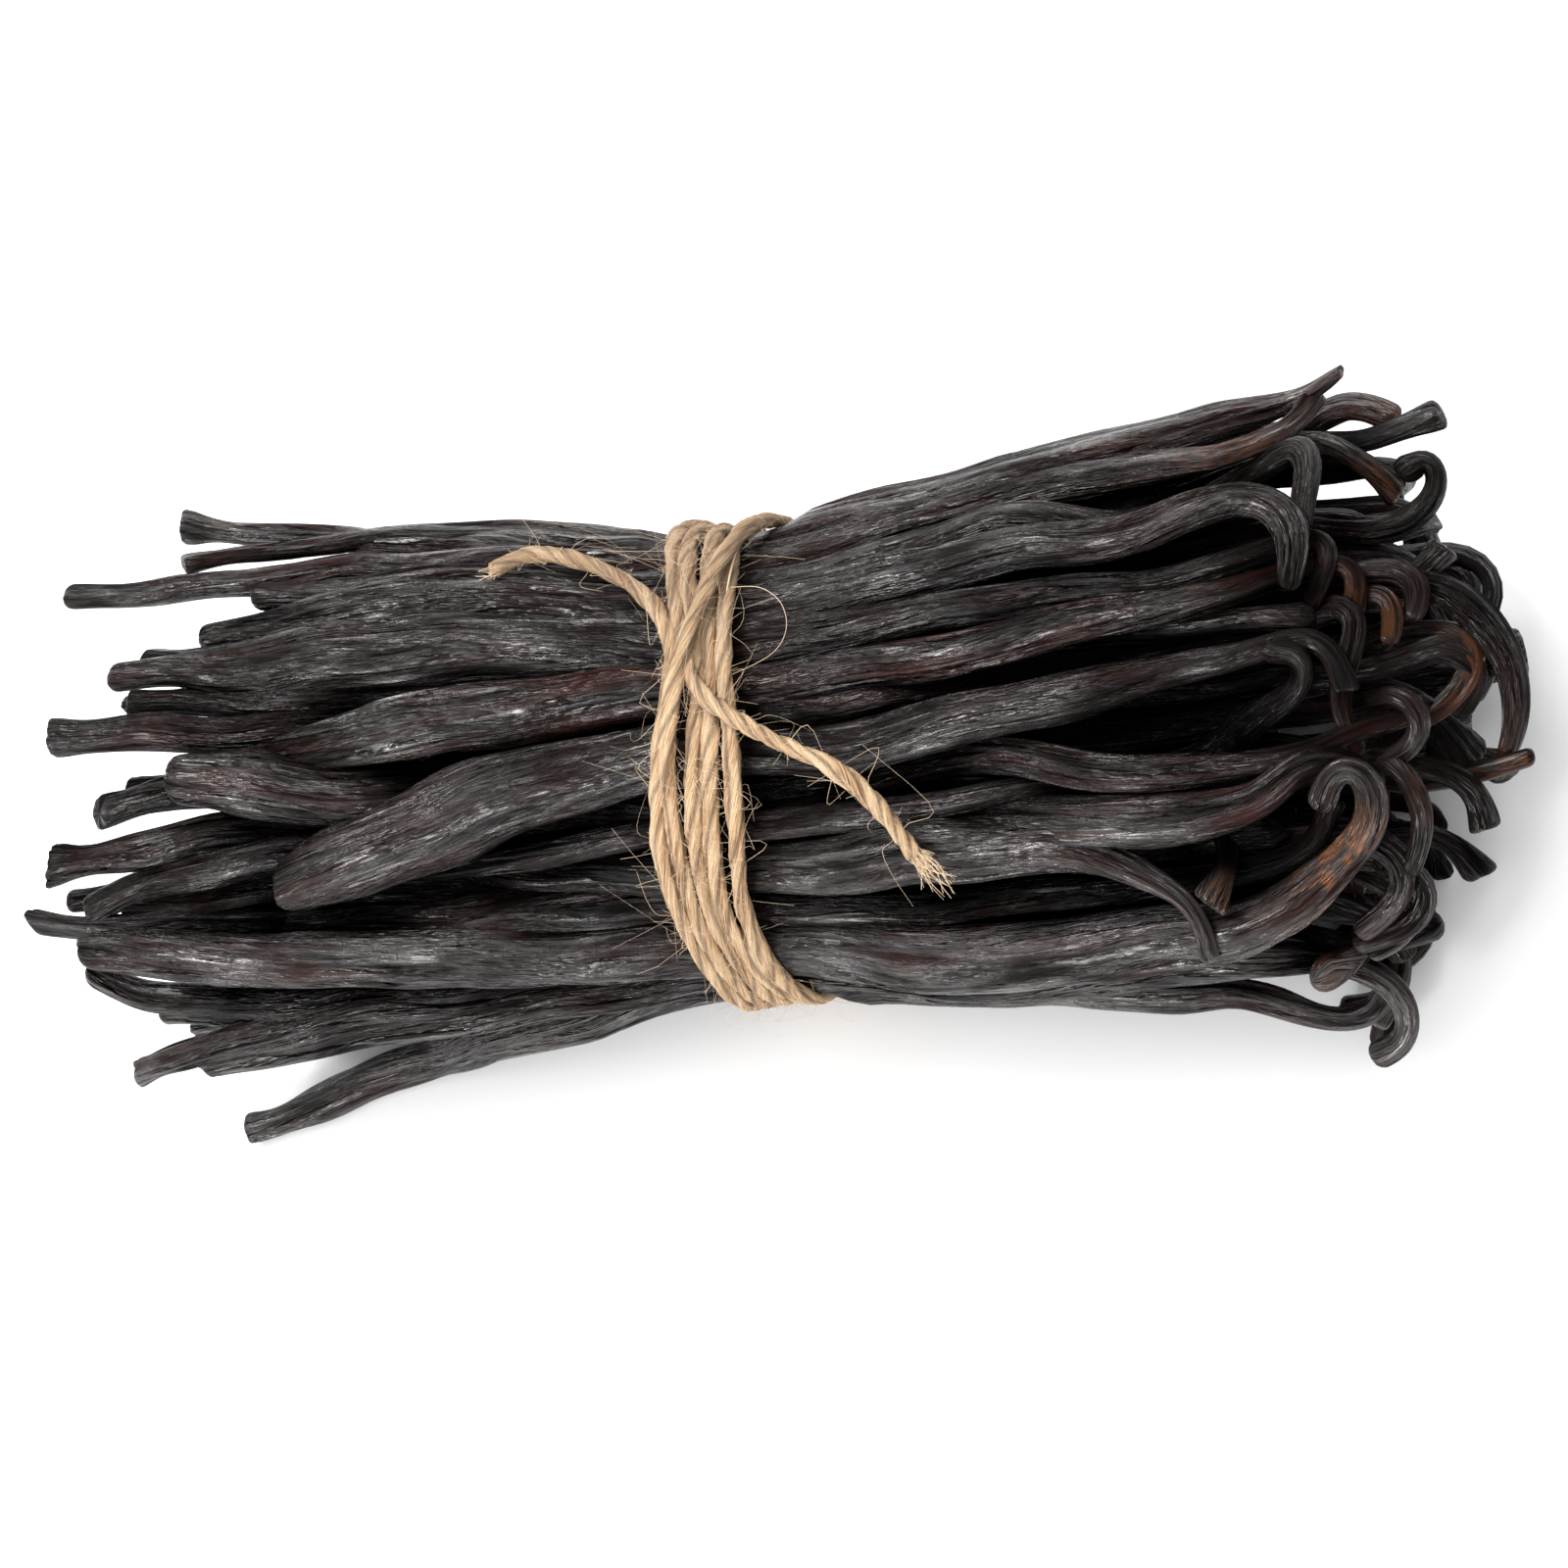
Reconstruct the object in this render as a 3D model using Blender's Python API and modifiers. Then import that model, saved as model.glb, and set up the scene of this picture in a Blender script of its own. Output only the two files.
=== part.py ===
"""A bundle of cured vanilla pods tied round its waist with jute twine.

The pods form one solid out to their uneven outline.  The twine's winding is one
closed ring, and each of its two free ends is a tube of its own.
"""
import math

import bmesh
import bpy
import numpy as np
from mathutils import Matrix

# All lengths are in millimetres and are turned to metres by MM.
MM = 0.001

# The bundle's own frame: x along it, s across it, t up out of it.  Its section is
# an ellipse that leans by LEAN about the x axis, with its centre at AXIS_HEIGHT.
LEAN = math.radians(20.0)
AXIS_HEIGHT = 23.8
SECTION_X = (-95, -75, -63, -40, -20, 0, 24, 58, 70, 90)
SECTION_HALF = (29, 30, 31, 30, 27.5, 26, 30.5, 34, 33.5, 31)
FLATNESS = 0.86
# the shift that puts the whole over the origin, as (x, y)
CENTRE = (-1.38, 1.08)

# The outer pods, from the back edge round the top to the front edge.  Each has its
# route as (x, across, depth under the bundle's surface), its half width as
# (x, half width), and its curled stalk as (x, across, up, half width).
LAID_PODS = {
    "back_edge": (
        ((-72, 35, 3), (-60, 32.5, 3), (-49, 30.3, 4), (-38, 29, 7), (-18, 25.5, 9), (2, 24, 9),
         (30, 29, 12), (62, 31, 13)),
        ((-72, 1.9), (-50, 1.7), (-30, 2.6), (40, 2.6), (62, 1.6)),
        ((65.8, 33, -2, 1.8), (68.6, 33.2, 0, 1.9), (71, 32.4, 1, 1.7), (73, 31, 2, 1.6))),
    "back_top": (
        ((-67, 29.7, -3), (-58, 31, 0), (-47, 31, 2.5), (-27, 28.6, 3), (-10, 25.4, 3),
         (4, 25.2, 3), (16, 26.6, 3), (29, 28.4, 3), (41, 30, 3), (52, 31.4, 3), (60, 33, 2)),
        ((-67, 1.7), (-50, 1.9), (-20, 2.6), (0, 2.8), (14, 3.1), (46, 3.1), (56, 2.6), (60, 2.2)),
        ((64, 33.6, 4.5, 1.9), (67, 34.8, 6, 1.3), (69.2, 35.8, 7, 0.8))),
    "back_blunt": (
        ((-82, 27.3, 0), (-74, 27, 3), (-64, 26.8, 3), (-47, 26.6, 3), (-31, 26.6, 2),
         (-20, 25.5, 2.5), (-10, 23.6, 3), (4, 22.6, 3), (18, 24.6, 2.6), (30, 26.4, 2.6),
         (42, 27.4, 2.6), (50, 28, 2.6), (56, 27, 2.8), (60, 28.5, 3)),
        ((-82, 1.6), (-70, 1.8), (-20, 2.2), (20, 2), (48, 2.1), (60, 1.5)),
        ((64, 31, 9, 1.3), (66, 33.5, 6, 1.3))),
    "back_wavy": (
        ((-57, 25, 4), (-46, 24.4, 3.2), (-30, 24, 3.2), (-11, 20.6, 3), (5, 19.6, 3),
         (14, 20.5, 3), (21, 21.8, 2.8), (27, 23.9, 2.3), (33, 24.7, 2.3), (39, 23.4, 2.8),
         (45, 21.6, 3.6), (55, 23, 6)),
        ((-57, 1.6), (-40, 1.9), (0, 2), (30, 1.8), (55, 1.5)),
        ((62, 26.6, 12, 1.5), (65, 28.5, 13, 1.5), (66.8, 26.4, 15, 1.6), (66.7, 23, 17, 1.7),
         (65.8, 20, 19, 1.8), (65.2, 17, 20.5, 1.4))),
    "back_broad": (
        ((-62, 20.2, 4), (-47, 21.4, 3), (-37, 21.6, 2.8), (-25, 20.6, 2.8), (-10, 17.6, 3),
         (2, 16.6, 3), (19, 18.6, 2.8), (35, 20.2, 2.6), (43, 19.8, 2.6), (49, 20.2, 2.5),
         (55, 22.4, 2.2), (59, 23.8, 2)),
        ((-62, 1.5), (-48, 2.6), (-15, 2.6), (20, 2.5), (48, 2.3), (59, 2)),
        ((60.4, 23.3, 19, 1.9), (63.8, 21.9, 20.5, 1.9), (65.2, 18.5, 22, 2), (65, 15.4, 23, 1.7),
         (64.6, 13.6, 23.3, 1.2))),
    "wide_dark": (
        ((-73, 17.1, 3.2), (-61, 16.7, 3), (-44, 16.6, 2.4), (-24, 15.4, 2.5), (-9, 14, 2.8),
         (2, 12.9, 3), (19, 13.7, 3), (36, 15.2, 3), (47, 15.2, 3.4), (58, 15.8, 3.8)),
        ((-73, 1.5), (-62, 2.2), (-50, 3.3), (-20, 3.2), (0, 2.3), (30, 2), (58, 1.5)),
        ((64, 17.5, 19, 1.4), (68, 18.2, 19, 1.2), (68.8, 16, 20, 1.2), (67.5, 13.6, 21, 1.3),
         (66.2, 11.6, 21, 1))),
    "thin_back": (
        ((-71, 14.1, 4), (-61, 12.9, 4.5), (-48, 11.3, 4), (-35, 11.4, 4.4), (-18, 11.6, 5),
         (0, 10.2, 5.6), (20, 11, 6), (45, 10.2, 5), (56.5, 9.5, 4.2)),
        ((-71, 1.5), (-50, 1.7), (0, 1.8), (45, 1.6), (57, 1.2)),
        ((61.3, 9.8, 24.5, 1.3), (65.8, 9.6, 24, 1.5))),
    "back_long": (
        ((-80, 10.6, 3), (-67, 9.9, 2.6), (-54, 9, 3.6), (-40, 7.6, 5.4), (-20, 7, 6),
         (0, 5.4, 4.6), (8, 5.4, 3.6), (16, 5.6, 3.6), (24, 6.2, 5), (36, 7.4, 7), (58, 9, 7.5)),
        ((-80, 1.9), (-68, 2.2), (-40, 2.1), (10, 1.7), (58, 1.4)),
        ((64, 9.2, 19, 1.4), (69.7, 10.6, 21, 1.4), (71.1, 8.9, 22, 1.4), (70.2, 6, 23, 1.5),
         (68.8, 2.6, 23, 1.5), (68.6, -0.9, 23, 1.3), (69.5, -4.5, 22, 1))),
    "rising": (
        ((-58, 5.6, 4.5), (-48, 6.8, 3), (-39, 7.4, 2.3), (-31, 8.2, 2.1), (-22, 8.6, 2.1),
         (-9, 8.9, 2.6), (2, 8.4, 3), (11, 8.6, 3), (27, 9.8, 2.8), (43, 11.4, 2.6),
         (51, 12.2, 2.6), (59, 13, 3)),
        ((-58, 1.6), (-44, 2.6), (-30, 3.1), (-15, 2.8), (0, 2.3), (35, 2.2), (50, 2), (59, 1.5)),
        ((64.5, 14.6, 20, 1.4), (69.7, 15.3, 19, 1.2), (71.6, 14, 20, 1.2), (71.5, 12, 20, 1.3),
         (70.8, 9.8, 20, 1.1))),
    "stub_left": (
        ((-74, 1.4, 2.8), (-63, 3.6, 4), (-50, 4.5, 6.4), (-30, 4, 8), (0, 1.5, 8), (50, 3.5, 9)),
        ((-74, 1.8), (-64, 2.2), (0, 2.3), (50, 1.5)),
        ((60, 4, 17, 1.5), (68, 3, 18, 1.4), (74.5, 4.2, 18, 1.3), (79.4, 5.4, 18, 1.3),
         (82, 3.8, 17, 1.3), (82, 1, 16.5, 1.3), (80, -1.4, 17, 1.2))),
    "round_left": (
        ((-63, 4.8, 2.2), (-56, 3.4, 2.2), (-50, 2, 2.4), (-44, 0.6, 3.4), (-34, -0.8, 6),
         (-20, -2.5, 6.6), (0, -2.8, 6.6), (20, -2, 7.4), (55, 0, 8.5)),
        ((-63, 2.3), (-57, 3), (-44, 2.9), (-20, 2.5), (30, 2.2), (55, 1.5)),
        ((65, -0.5, 18, 1.4), (71.3, 0.3, 20, 1.2), (74.3, 0.8, 22, 1.2), (76.6, -0.8, 23, 1.4),
         (76.7, -3.1, 22, 1.4), (74.7, -5.2, 21, 1.1), (72, -6, 20, 0.9))),
    "biggest": (
        ((-52, -8.6, 2.2), (-45, -6.9, 1.9), (-36, -3.8, 1.9), (-28, -1.2, 1.9), (-20, 0.1, 2.1),
         (-9, 1.6, 2.5), (0, 1.4, 2.8), (9, 0.9, 2.8), (15, 0.9, 2.6), (23, 1.6, 2.5),
         (31, 3, 2.4), (43, 4, 2.4), (51, 5, 2.6), (58, 6.4, 3)),
        ((-52, 2.6), (-45, 3.6), (-28, 4), (-9, 3), (8, 2.4), (30, 2.6), (45, 2.3), (58, 1.4)),
        ((63, 7.6, 24.5, 1.2), (67, 8, 24.5, 1.2), (69, 5.4, 24.5, 1.2), (69.5, 2, 24.5, 1.2))),
    "cup_tip": (
        ((-81, -4.3, 2.8), (-68, -3, 2.8), (-61, -1.9, 3.2), (-50, -2.4, 5.4), (-30, -5.6, 7),
         (-5, -4.5, 7), (14, -2.4, 5.6), (27, -1.5, 4), (35, -2.4, 2.9), (41, -4, 2.4),
         (46, -4.8, 2.3), (54, -5.4, 2.5), (61, -4.8, 3)),
        ((-81, 1.9), (-70, 2.2), (-20, 2), (30, 1.9), (50, 2), (61, 1.4)),
        ((66, -4, 24, 1.4), (70, -2.6, 23, 1.2), (73.5, -2.6, 21, 1.2), (76.5, -1.2, 18, 1.2))),
    "drooping": (
        ((-77, -9.5, 3), (-71, -7.3, 2.8), (-62, -5.6, 2.8), (-53, -5, 3.6), (-42, -5.6, 5.4),
         (-28, -9.5, 6), (-12, -11.6, 4), (2, -11.8, 3), (13, -11.6, 2.5), (25, -11.5, 2.3),
         (37, -11.9, 2.2), (42, -13.4, 2.2)),
        ((-77, 1.6), (-65, 2), (-15, 2), (5, 2.6), (20, 3.1), (34, 2.5), (42, 1.9)),
        ((46.8, -15.6, 24, 1.4), (50.1, -18.3, 23, 1.1), (51.4, -21.4, 22, 1), (51.4, -24.8, 21, 1))),
    "short_under": (
        ((-73, -9.4, 4), (-62, -8.7, 4), (-53, -8.2, 5), (-35, -10.4, 6.4), (0, -9.4, 7.4),
         (45, -12, 7)),
        ((-73, 1.7), (-40, 1.9), (45, 1.6)),
        ((56, -13, 17, 1.6), (63.4, -14.1, 18, 1.6), (68.5, -14, 19, 1.6), (72.3, -15.8, 20, 1.6),
         (73.2, -19, 19, 1.6), (71.2, -22.2, 18, 1.5), (68, -23.9, 17, 1.3))),
    "angled_tip": (
        ((-84, -10.2, 3), (-79, -11.4, 3), (-65, -12, 5), (-35, -14.4, 6.4), (0, -15, 7),
         (50, -16.5, 8)),
        ((-84, 1.8), (-76, 2), (-30, 2.1), (50, 1.5)),
        ((62, -16.4, 14.5, 1.6), (69.2, -16.3, 16, 1.6), (73.8, -17.3, 17, 1.6),
         (75.6, -19.8, 17, 1.6), (74.4, -22.6, 16, 1.5), (70.9, -24.4, 15, 1.4), (67, -25, 15, 1.2))),
    "front_long": (
        ((-79, -13.7, 3), (-73, -15, 2.5), (-64, -15.9, 2.3), (-52, -17.3, 2.3), (-40, -18, 2.3),
         (-28, -19.3, 2.5), (-16, -19.6, 2.8), (-2, -20.4, 3), (13, -22, 2.5), (25, -23.6, 2.2),
         (36, -23.5, 2.2), (43, -23.3, 2.2), (54.5, -22.6, 2.2)),
        ((-79, 2.1), (-70, 2.7), (-50, 2.8), (-20, 3), (-2, 3), (14, 3.3), (42, 3.3), (54.5, 2.6)),
        ((61.4, -20, 21, 2.4), (66.8, -16.8, 22.5, 2), (70.6, -13.4, 24, 1.9),
         (71.8, -10.2, 25, 1.7), (71.2, -7, 26, 1.5), (69, -5.8, 26.5, 1.4), (67, -7, 26, 1.4),
         (65.9, -9.4, 25, 1.5))),
    "front_under": (
        ((-80, -16.6, 4.6), (-77, -19.1, 3.6), (-71, -20.6, 3.6), (-62, -21.8, 4.2),
         (-45, -22, 6.4), (0, -19.5, 9), (50, -20, 10)),
        ((-80, 1.8), (-50, 2), (50, 1.5)),
        ((60, -24, 10, 1.6), (65.1, -26.4, 10, 1.4), (68.8, -26.1, 10, 1.3),
         (72.1, -25.3, 10, 1.3), (73.9, -24.5, 10, 1.6))),
    "front_thin": (
        ((-81, -29.8, -3), (-75, -27.6, 0), (-64, -25.7, 3), (-55, -24.5, 3), (-46, -23.9, 3.2),
         (-34, -23.4, 4.4), (-15, -23, 7), (10, -20, 9), (55, -19, 12)),
        ((-81, 1.5), (-70, 2), (-30, 2.1), (55, 1.5)),
        ((62, -20, 9, 1.4), (68, -23, 10, 1.4), (70, -27, 9, 1.4))),
    "front_low": (
        ((-71, -29.2, -2), (-65, -28.4, 1), (-57, -27.4, 3), (-43, -26.3, 3), (-30, -25, 3.4),
         (-12, -23.6, 4.6), (4, -24, 5), (20, -26.6, 4.6), (40, -26.6, 3.4), (50, -26, 2.8),
         (57, -26.2, 2.6)),
        ((-71, 1.4), (-60, 1.8), (0, 2), (25, 2.3), (48, 2.4), (57, 2.1)),
        ((60.8, -26.4, 10, 1.9), (65.8, -27.8, 9, 1.8), (69, -30.2, 7, 1.6), (70.2, -33.2, 5, 1.4),
         (69.6, -35.9, 4, 1.3), (67.8, -37.6, 3, 1.4), (66, -37.6, 3, 1.6))),
    "lowest": (
        ((-74, -38, 9), (-68, -36, 9), (-58, -33.3, 9), (-49, -31, 8), (-38, -29, 7),
         (-26, -27, 5.6), (-13, -25, 5), (0, -24.4, 5.6), (20, -27.2, 6), (40, -28.6, 5),
         (52, -30, 5)),
        ((-74, 1.7), (-64, 2.5), (-45, 2.7), (-15, 2.5), (20, 2.3), (45, 2.3), (52, 1.9)),
        ((58.6, -33.5, 2, 1.6), (62.9, -34.3, 1, 1.6), (66, -33.2, 2, 1.5), (67.4, -30.5, 4, 1.4))),
    "gap_strand": (
        ((-62, -6, 7), (-48, -6.4, 6), (-35, -8.2, 4.4), (-17, -7.4, 3.2), (-6, -6.6, 3),
         (3, -6.6, 3), (14, -6.8, 2.8), (22, -6.4, 2.8), (30, -5.8, 3.2), (38, -5.6, 4.6),
         (58, -8, 8)),
        ((-62, 1.3), (-30, 1.5), (10, 1.7), (58, 1.3)),
        ((66, -6.5, 18, 1.2), (72.5, -5, 20, 1), (75, -8.3, 21, 1.2), (76.1, -11.4, 21, 1.4),
         (75.3, -14.2, 20, 1.3), (73.4, -17.4, 19, 1.1))),
    "red_broad": (
        ((-66, -12.5, 6), (-45, -13, 5), (-35, -13, 4.2), (-15, -11.8, 5), (0, -9.2, 4.6),
         (15, -8.6, 5.4), (30, -9, 4), (37, -9.5, 2.9), (45, -10.2, 2.4), (53, -10.2, 2.3),
         (60, -8.8, 2.2)),
        ((-66, 1.4), (-20, 1.7), (20, 2), (42, 2.7), (53, 2.7), (60, 1.9)),
        ((64.8, -5.2, 25, 1.7), (68.4, -5.9, 24, 1.4), (71, -8.2, 22.5, 1.3))),
    "gap_thin": (
        ((-66, -14, 6.4), (-45, -14.4, 4.8), (-31, -14.5, 3.6), (-12, -15.2, 3.4), (0, -16, 3.6),
         (20, -17.6, 4.4), (50, -17, 6)),
        ((-66, 1.4), (-20, 1.7), (20, 1.9), (50, 1.5)),
        ((58, -16, 19, 1.3), (64, -14, 20, 1.3), (66, -10, 20, 1.3))),
    "narrow_curl": (
        ((-56, -3, 9), (-20, -1, 9), (0, 0.5, 9), (36, -2, 8.4), (46, -5.5, 9), (52, -5, 9)),
        ((-56, 1.5), (0, 2), (52, 1.9)),
        ((56, -2.4, 20, 1.9), (59.8, 0.1, 22, 1.7), (64.1, 2.2, 24, 1.4), (66.2, 4.2, 25, 1.2),
         (65.2, 6.4, 26, 1.3), (62.8, 6.6, 26, 1.5))),
    "dark_hook": (
        ((-56, 20, 9), (0, 15, 9), (45, 18, 8), (60, 20, 8)),
        ((-56, 1.6), (0, 2.4), (60, 2.3)),
        ((66.7, 19.5, 12, 1.9), (70.9, 18.6, 12, 2.1), (75.3, 18.9, 12, 2.1),
         (78.4, 20.4, 12, 1.9), (80, 22.9, 12, 1.7), (79.7, 25.3, 12, 1.5), (77.9, 26.4, 12, 1.6),
         (76.2, 25, 12, 1.8))),
    "spotted": (
        ((-56, 24, 8), (0, 19, 8), (45, 24, 8), (60, 27, 8)),
        ((-56, 1.5), (0, 2.2), (60, 1.6)),
        ((66.4, 29.8, 8, 1.5), (69.5, 27.1, 9, 1.4), (72, 24.9, 9, 1.5), (73.6, 22.4, 8, 1.7))),
    "flat_tip": (
        ((-54, 22, 13), (0, 18, 12), (45, 26, 14), (60, 30, 12)),
        ((-54, 1.5), (0, 2.2), (60, 1.5)),
        ((70.5, 28, 2, 1.2), (73.5, 29.3, 3, 1.4), (76.4, 29.9, 4, 1.7), (78.4, 30.4, 4, 1.8))),
    "flared_stub": (
        ((-56, 12, 9), (0, 7.5, 9), (45, 12, 9), (60, 12, 8)),
        ((-56, 1.5), (0, 2.4), (60, 1.6)),
        ((72, 10.9, 14, 1.3), (75.1, 12.3, 15, 1.2), (77.6, 13.9, 16, 1.2), (79.4, 15.4, 16, 1.5))),
    "great_arc": (
        ((-58, 8, 11), (0, 3.5, 12), (45, 9, 12), (62, 12, 11)),
        ((-58, 1.5), (0, 2.4), (62, 2)),
        ((72, 12.4, 16, 1.9), (76.4, 12.1, 17, 1.9), (80.2, 10.8, 17, 1.9), (83.2, 8.3, 17, 2),
         (85.4, 4.7, 16, 1.9), (86, 1.1, 15, 1.7), (85.5, -2.3, 14, 1.5), (84.6, -5.6, 13, 1.2),
         (82.6, -8.6, 11, 0.9))),
    "brown_pointer": (
        ((-56, 3, 13), (0, -1, 12.4), (45, -3, 12), (62, -4, 11)),
        ((-56, 1.5), (0, 2.4), (62, 1.6)),
        ((72.7, -8.8, 14, 1.3), (77.8, -8.2, 14, 1.2), (82.2, -7.8, 14, 1.2), (86.2, -7.2, 14, 1))),
    "short_stub": (
        ((-56, -6, 12), (0, -5.6, 12), (45, -6, 11), (62, -6, 11)),
        ((-56, 1.5), (0, 2.4), (62, 1.6)),
        ((72, -6.4, 15, 1.3), (76.3, -7.2, 16, 1.3), (79.6, -8.8, 16, 1.3), (81.1, -11, 15, 1.3),
         (80.9, -13.8, 14, 1.5))),
    "brown_curl": (
        ((-54, 7.2, 12), (0, 6.3, 12), (45, 9, 10), (62, 9, 9)),
        ((-54, 1.5), (0, 2.2), (45, 1.8), (62, 1.5)),
        ((68, 11, 18, 1.3), (73, 12, 19, 1.1), (75, 10.8, 20, 1.3), (74.8, 8.6, 20, 1.3),
         (73.8, 6.8, 20, 1))),
    "brown_knob": (
        ((-54, 11.2, 13), (0, 9.8, 13), (45, 14, 11), (62, 14, 10)),
        ((-54, 1.5), (0, 2.2), (45, 1.8), (62, 1.5)),
        ((70, 13.6, 17, 1.3), (75, 13.8, 18, 1.4), (77.6, 12.6, 19, 1.7), (78, 10.6, 19, 1.7),
         (76.8, 9.2, 19, 1.2))),
    "dark_curl": (
        ((-54, 2.4, 15), (0, 2.1, 15), (45, 3, 13), (62, 3, 12)),
        ((-54, 1.5), (0, 2.2), (45, 1.8), (62, 1.5)),
        ((70, 3, 17, 1.3), (75.7, 4.5, 18, 1.3), (78.2, 5, 18, 1.5), (80.6, 4.4, 18, 1.4),
         (81.6, 2.6, 17, 1.1))),
    "edge_curl": (
        ((-54, 4, 17), (0, 3.5, 17), (45, 5, 15), (62, 5, 14)),
        ((-54, 1.5), (0, 2.2), (45, 1.8), (62, 1.5)),
        ((74, 7, 15, 1.3), (81, 6.6, 17, 1.3), (82.2, 4.2, 17, 1.4), (81.2, 1.4, 17, 1.5),
         (79.4, -0.6, 17.5, 1.3), (77.2, -2.2, 18, 1))),
    "ring_stub": (
        ((-54, -10.4, 10), (0, -9.1, 10), (45, -13, 8), (62, -13, 7)),
        ((-54, 1.5), (0, 2.2), (45, 1.8), (62, 1.5)),
        ((53, -11, 18, 1.3), (55.4, -13.6, 20, 1.2), (54.4, -16.4, 21.4, 1.3), (53, -19, 23, 1.4))),
    "low_curl": (
        ((-54, -12, 17), (0, -10.5, 17), (45, -15, 15), (62, -15, 14)),
        ((-54, 1.5), (0, 2.2), (45, 1.8), (62, 1.5)),
        ((66, -17, 12, 1.5), (71, -19.5, 14, 1.5), (73, -22, 14, 1.5), (71.5, -24.6, 13, 1.4),
         (68, -26, 13, 1.1))),
    "tip_pointed": (
        ((-72.9, 19.8, 11.2), (-66, 18.5, 10), (-50, 16, 9), (0, 13, 10), (50, 13, 12)),
        ((-72.9, 1.2), (-66, 1.7), (-50, 2), (0, 2), (50, 1.5)),
        ((56, 13, 12, 1.3), (60, 12, 11, 1.2))),
    "tip_under": (
        ((-74.4, 14.6, 10.5), (-66, 13.6, 10), (-50, 12.6, 9), (0, 10, 10), (50, 9, 13)),
        ((-74.4, 1.2), (-66, 1.7), (-50, 2), (0, 2), (50, 1.5)),
        ((56, 9, 12, 1.3), (60, 8, 11, 1.2))),
    "tip_round": (
        ((-82, -7.8, 8), (-74, -8, 8), (-60, -9.6, 8), (0, -11, 9.5), (50, -10, 12)),
        ((-82, 1.2), (-74, 1.7), (-50, 2), (0, 2), (50, 1.5)),
        ((56, -10, 12, 1.3), (60, -11, 11, 1.2))),
    "tip_low": (
        ((-80, -23.2, 17), (-72, -23, 13), (-60, -22.6, 10.5), (0, -21, 11), (50, -20, 12)),
        ((-80, 1.2), (-72, 1.7), (-50, 2), (0, 2), (50, 1.5)),
        ((56, -20, 12, 1.3), (60, -21, 11, 1.2))),
    "tip_lower": (
        ((-76.6, -25.6, 16), (-69, -25.6, 12), (-56, -24.6, 9), (0, -22.6, 10), (50, -23, 12)),
        ((-76.6, 1.2), (-69, 1.7), (-50, 2), (0, 2), (50, 1.5)),
        ((56, -23, 12, 1.3), (60, -24, 11, 1.2))),
}

# The pods inside and below: each ring as (inset, count, first angle, last angle).
RINGS = ((2.7, 15, 188.0, 352.0), (7.9, 10, 180.0, 360.0), (13.2, 7, 160.0, 380.0), (18.4, 4, 0.0, 360.0),
         (8.6, 11, 10.0, 170.0))
SEED = 41
OUTER_INSET = 9.0
RING_JITTER = 0.2
RING_LEAN = 9.0
LEAN_OVER = 80.0
FILLER_HALF = (2.1, 3.0)
FILLER_TAPER = (0.6, 1.0, 1.0, 0.62)
TAPER_LENGTH = 22.0
TAPER_START = 20.0
OUTER_LEFT = (-74, -60)
INNER_LEFT = (-68, -56)
FILLER_RIGHT = (53, 62)
FRONT_SHORTER = 9.0
INNER_LONGER = 0.75
CURL_TURN = (50, 190)
CURL_RADIUS = (3.5, 6.5)
CURL_LEAD = (3, 9)
CURL_HALF = (1.2, 1.9)
CURL_NECK = 0.22
CURL_SIDES = (170, 200, 240, 280)
CURL_SPREAD = 40.0
CURL_END = 3.0
CURL_KNOTS = 7

# How the pods settle against each other.
STATION_STEP = 4.0
STATIONS = np.arange(-84.0, 78.1, STATION_STEP)
SETTLING_PASSES = 240
CLOSENESS = 0.84
EDGE_SHARE = 0.85
REST_SHARE = 0.92
FLOOR_PRESS = 0.8
LARGEST_MOVE = 0.8
SHALLOW = 5.5
SIDE_REACH = 28
LOOSENESS = (0.03, 0.3)
PULL_HOME = 0.12
EASING = 0.25
# the room left under the waist for the twine: stations and heights
WAIST_X = (-24, -10, 6, 20)
WAIST_ROOM = (0, 3.1, 3.1, 0)
# how a route is smoothed and read again
FINE_STEP = 0.7
SMOOTHING_PASSES = 16
END_CROWDING = 0.09

# The twine: each strand's place along the bundle at each angle round the section,
# where 0 is the back edge, 90 the top and 180 the front edge.
TWINE_DIAMETER = 2.2
TWINE_OVER = 0.9
TWINE_FLOOR = 1.3
TURN_ANGLES = (3, 28, 46, 58, 70, 82, 104, 125, 150, 177, 240, 300, 340)
TURNS = (
    (None, None, None, -4.8, -5.0, -6.3, -7.8, -7.6, -6.1, -5.9, -6.1, -6.4, -6.7),
    (-6.8, -5.4, -3.6, -2.2, -1.8, -2.4, -3.7, -4.1, -2.4, -1.8, -2.4, -3.4, -4.0),
    (-4.2, -2.6, -1.4, -0.9, -0.4, -0.6, -1.7, -2.7, -0.8, 0.2, -0.4, -1.0, -1.4),
    (-1.6, -0.2, 0.8, 0.9, 1.2, 1.9, 1.3, -0.4, 0.6, 2.2, 2.4, 2.5, 2.6),
    (2.6, 0.9, -0.8, -2.4, -3.8, -5.0, -5.9, -5.8, -4.4, -3.8, -4.0, -4.6, -8.2),
    (-8.9, -7.0, -5.2, -4.0, None, None, None, None, None, None, None, None, None),
)
TURN_STEP = 12.0
CROSSING_TURN = 4
CROSSING_LIFT = 0.9
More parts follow.
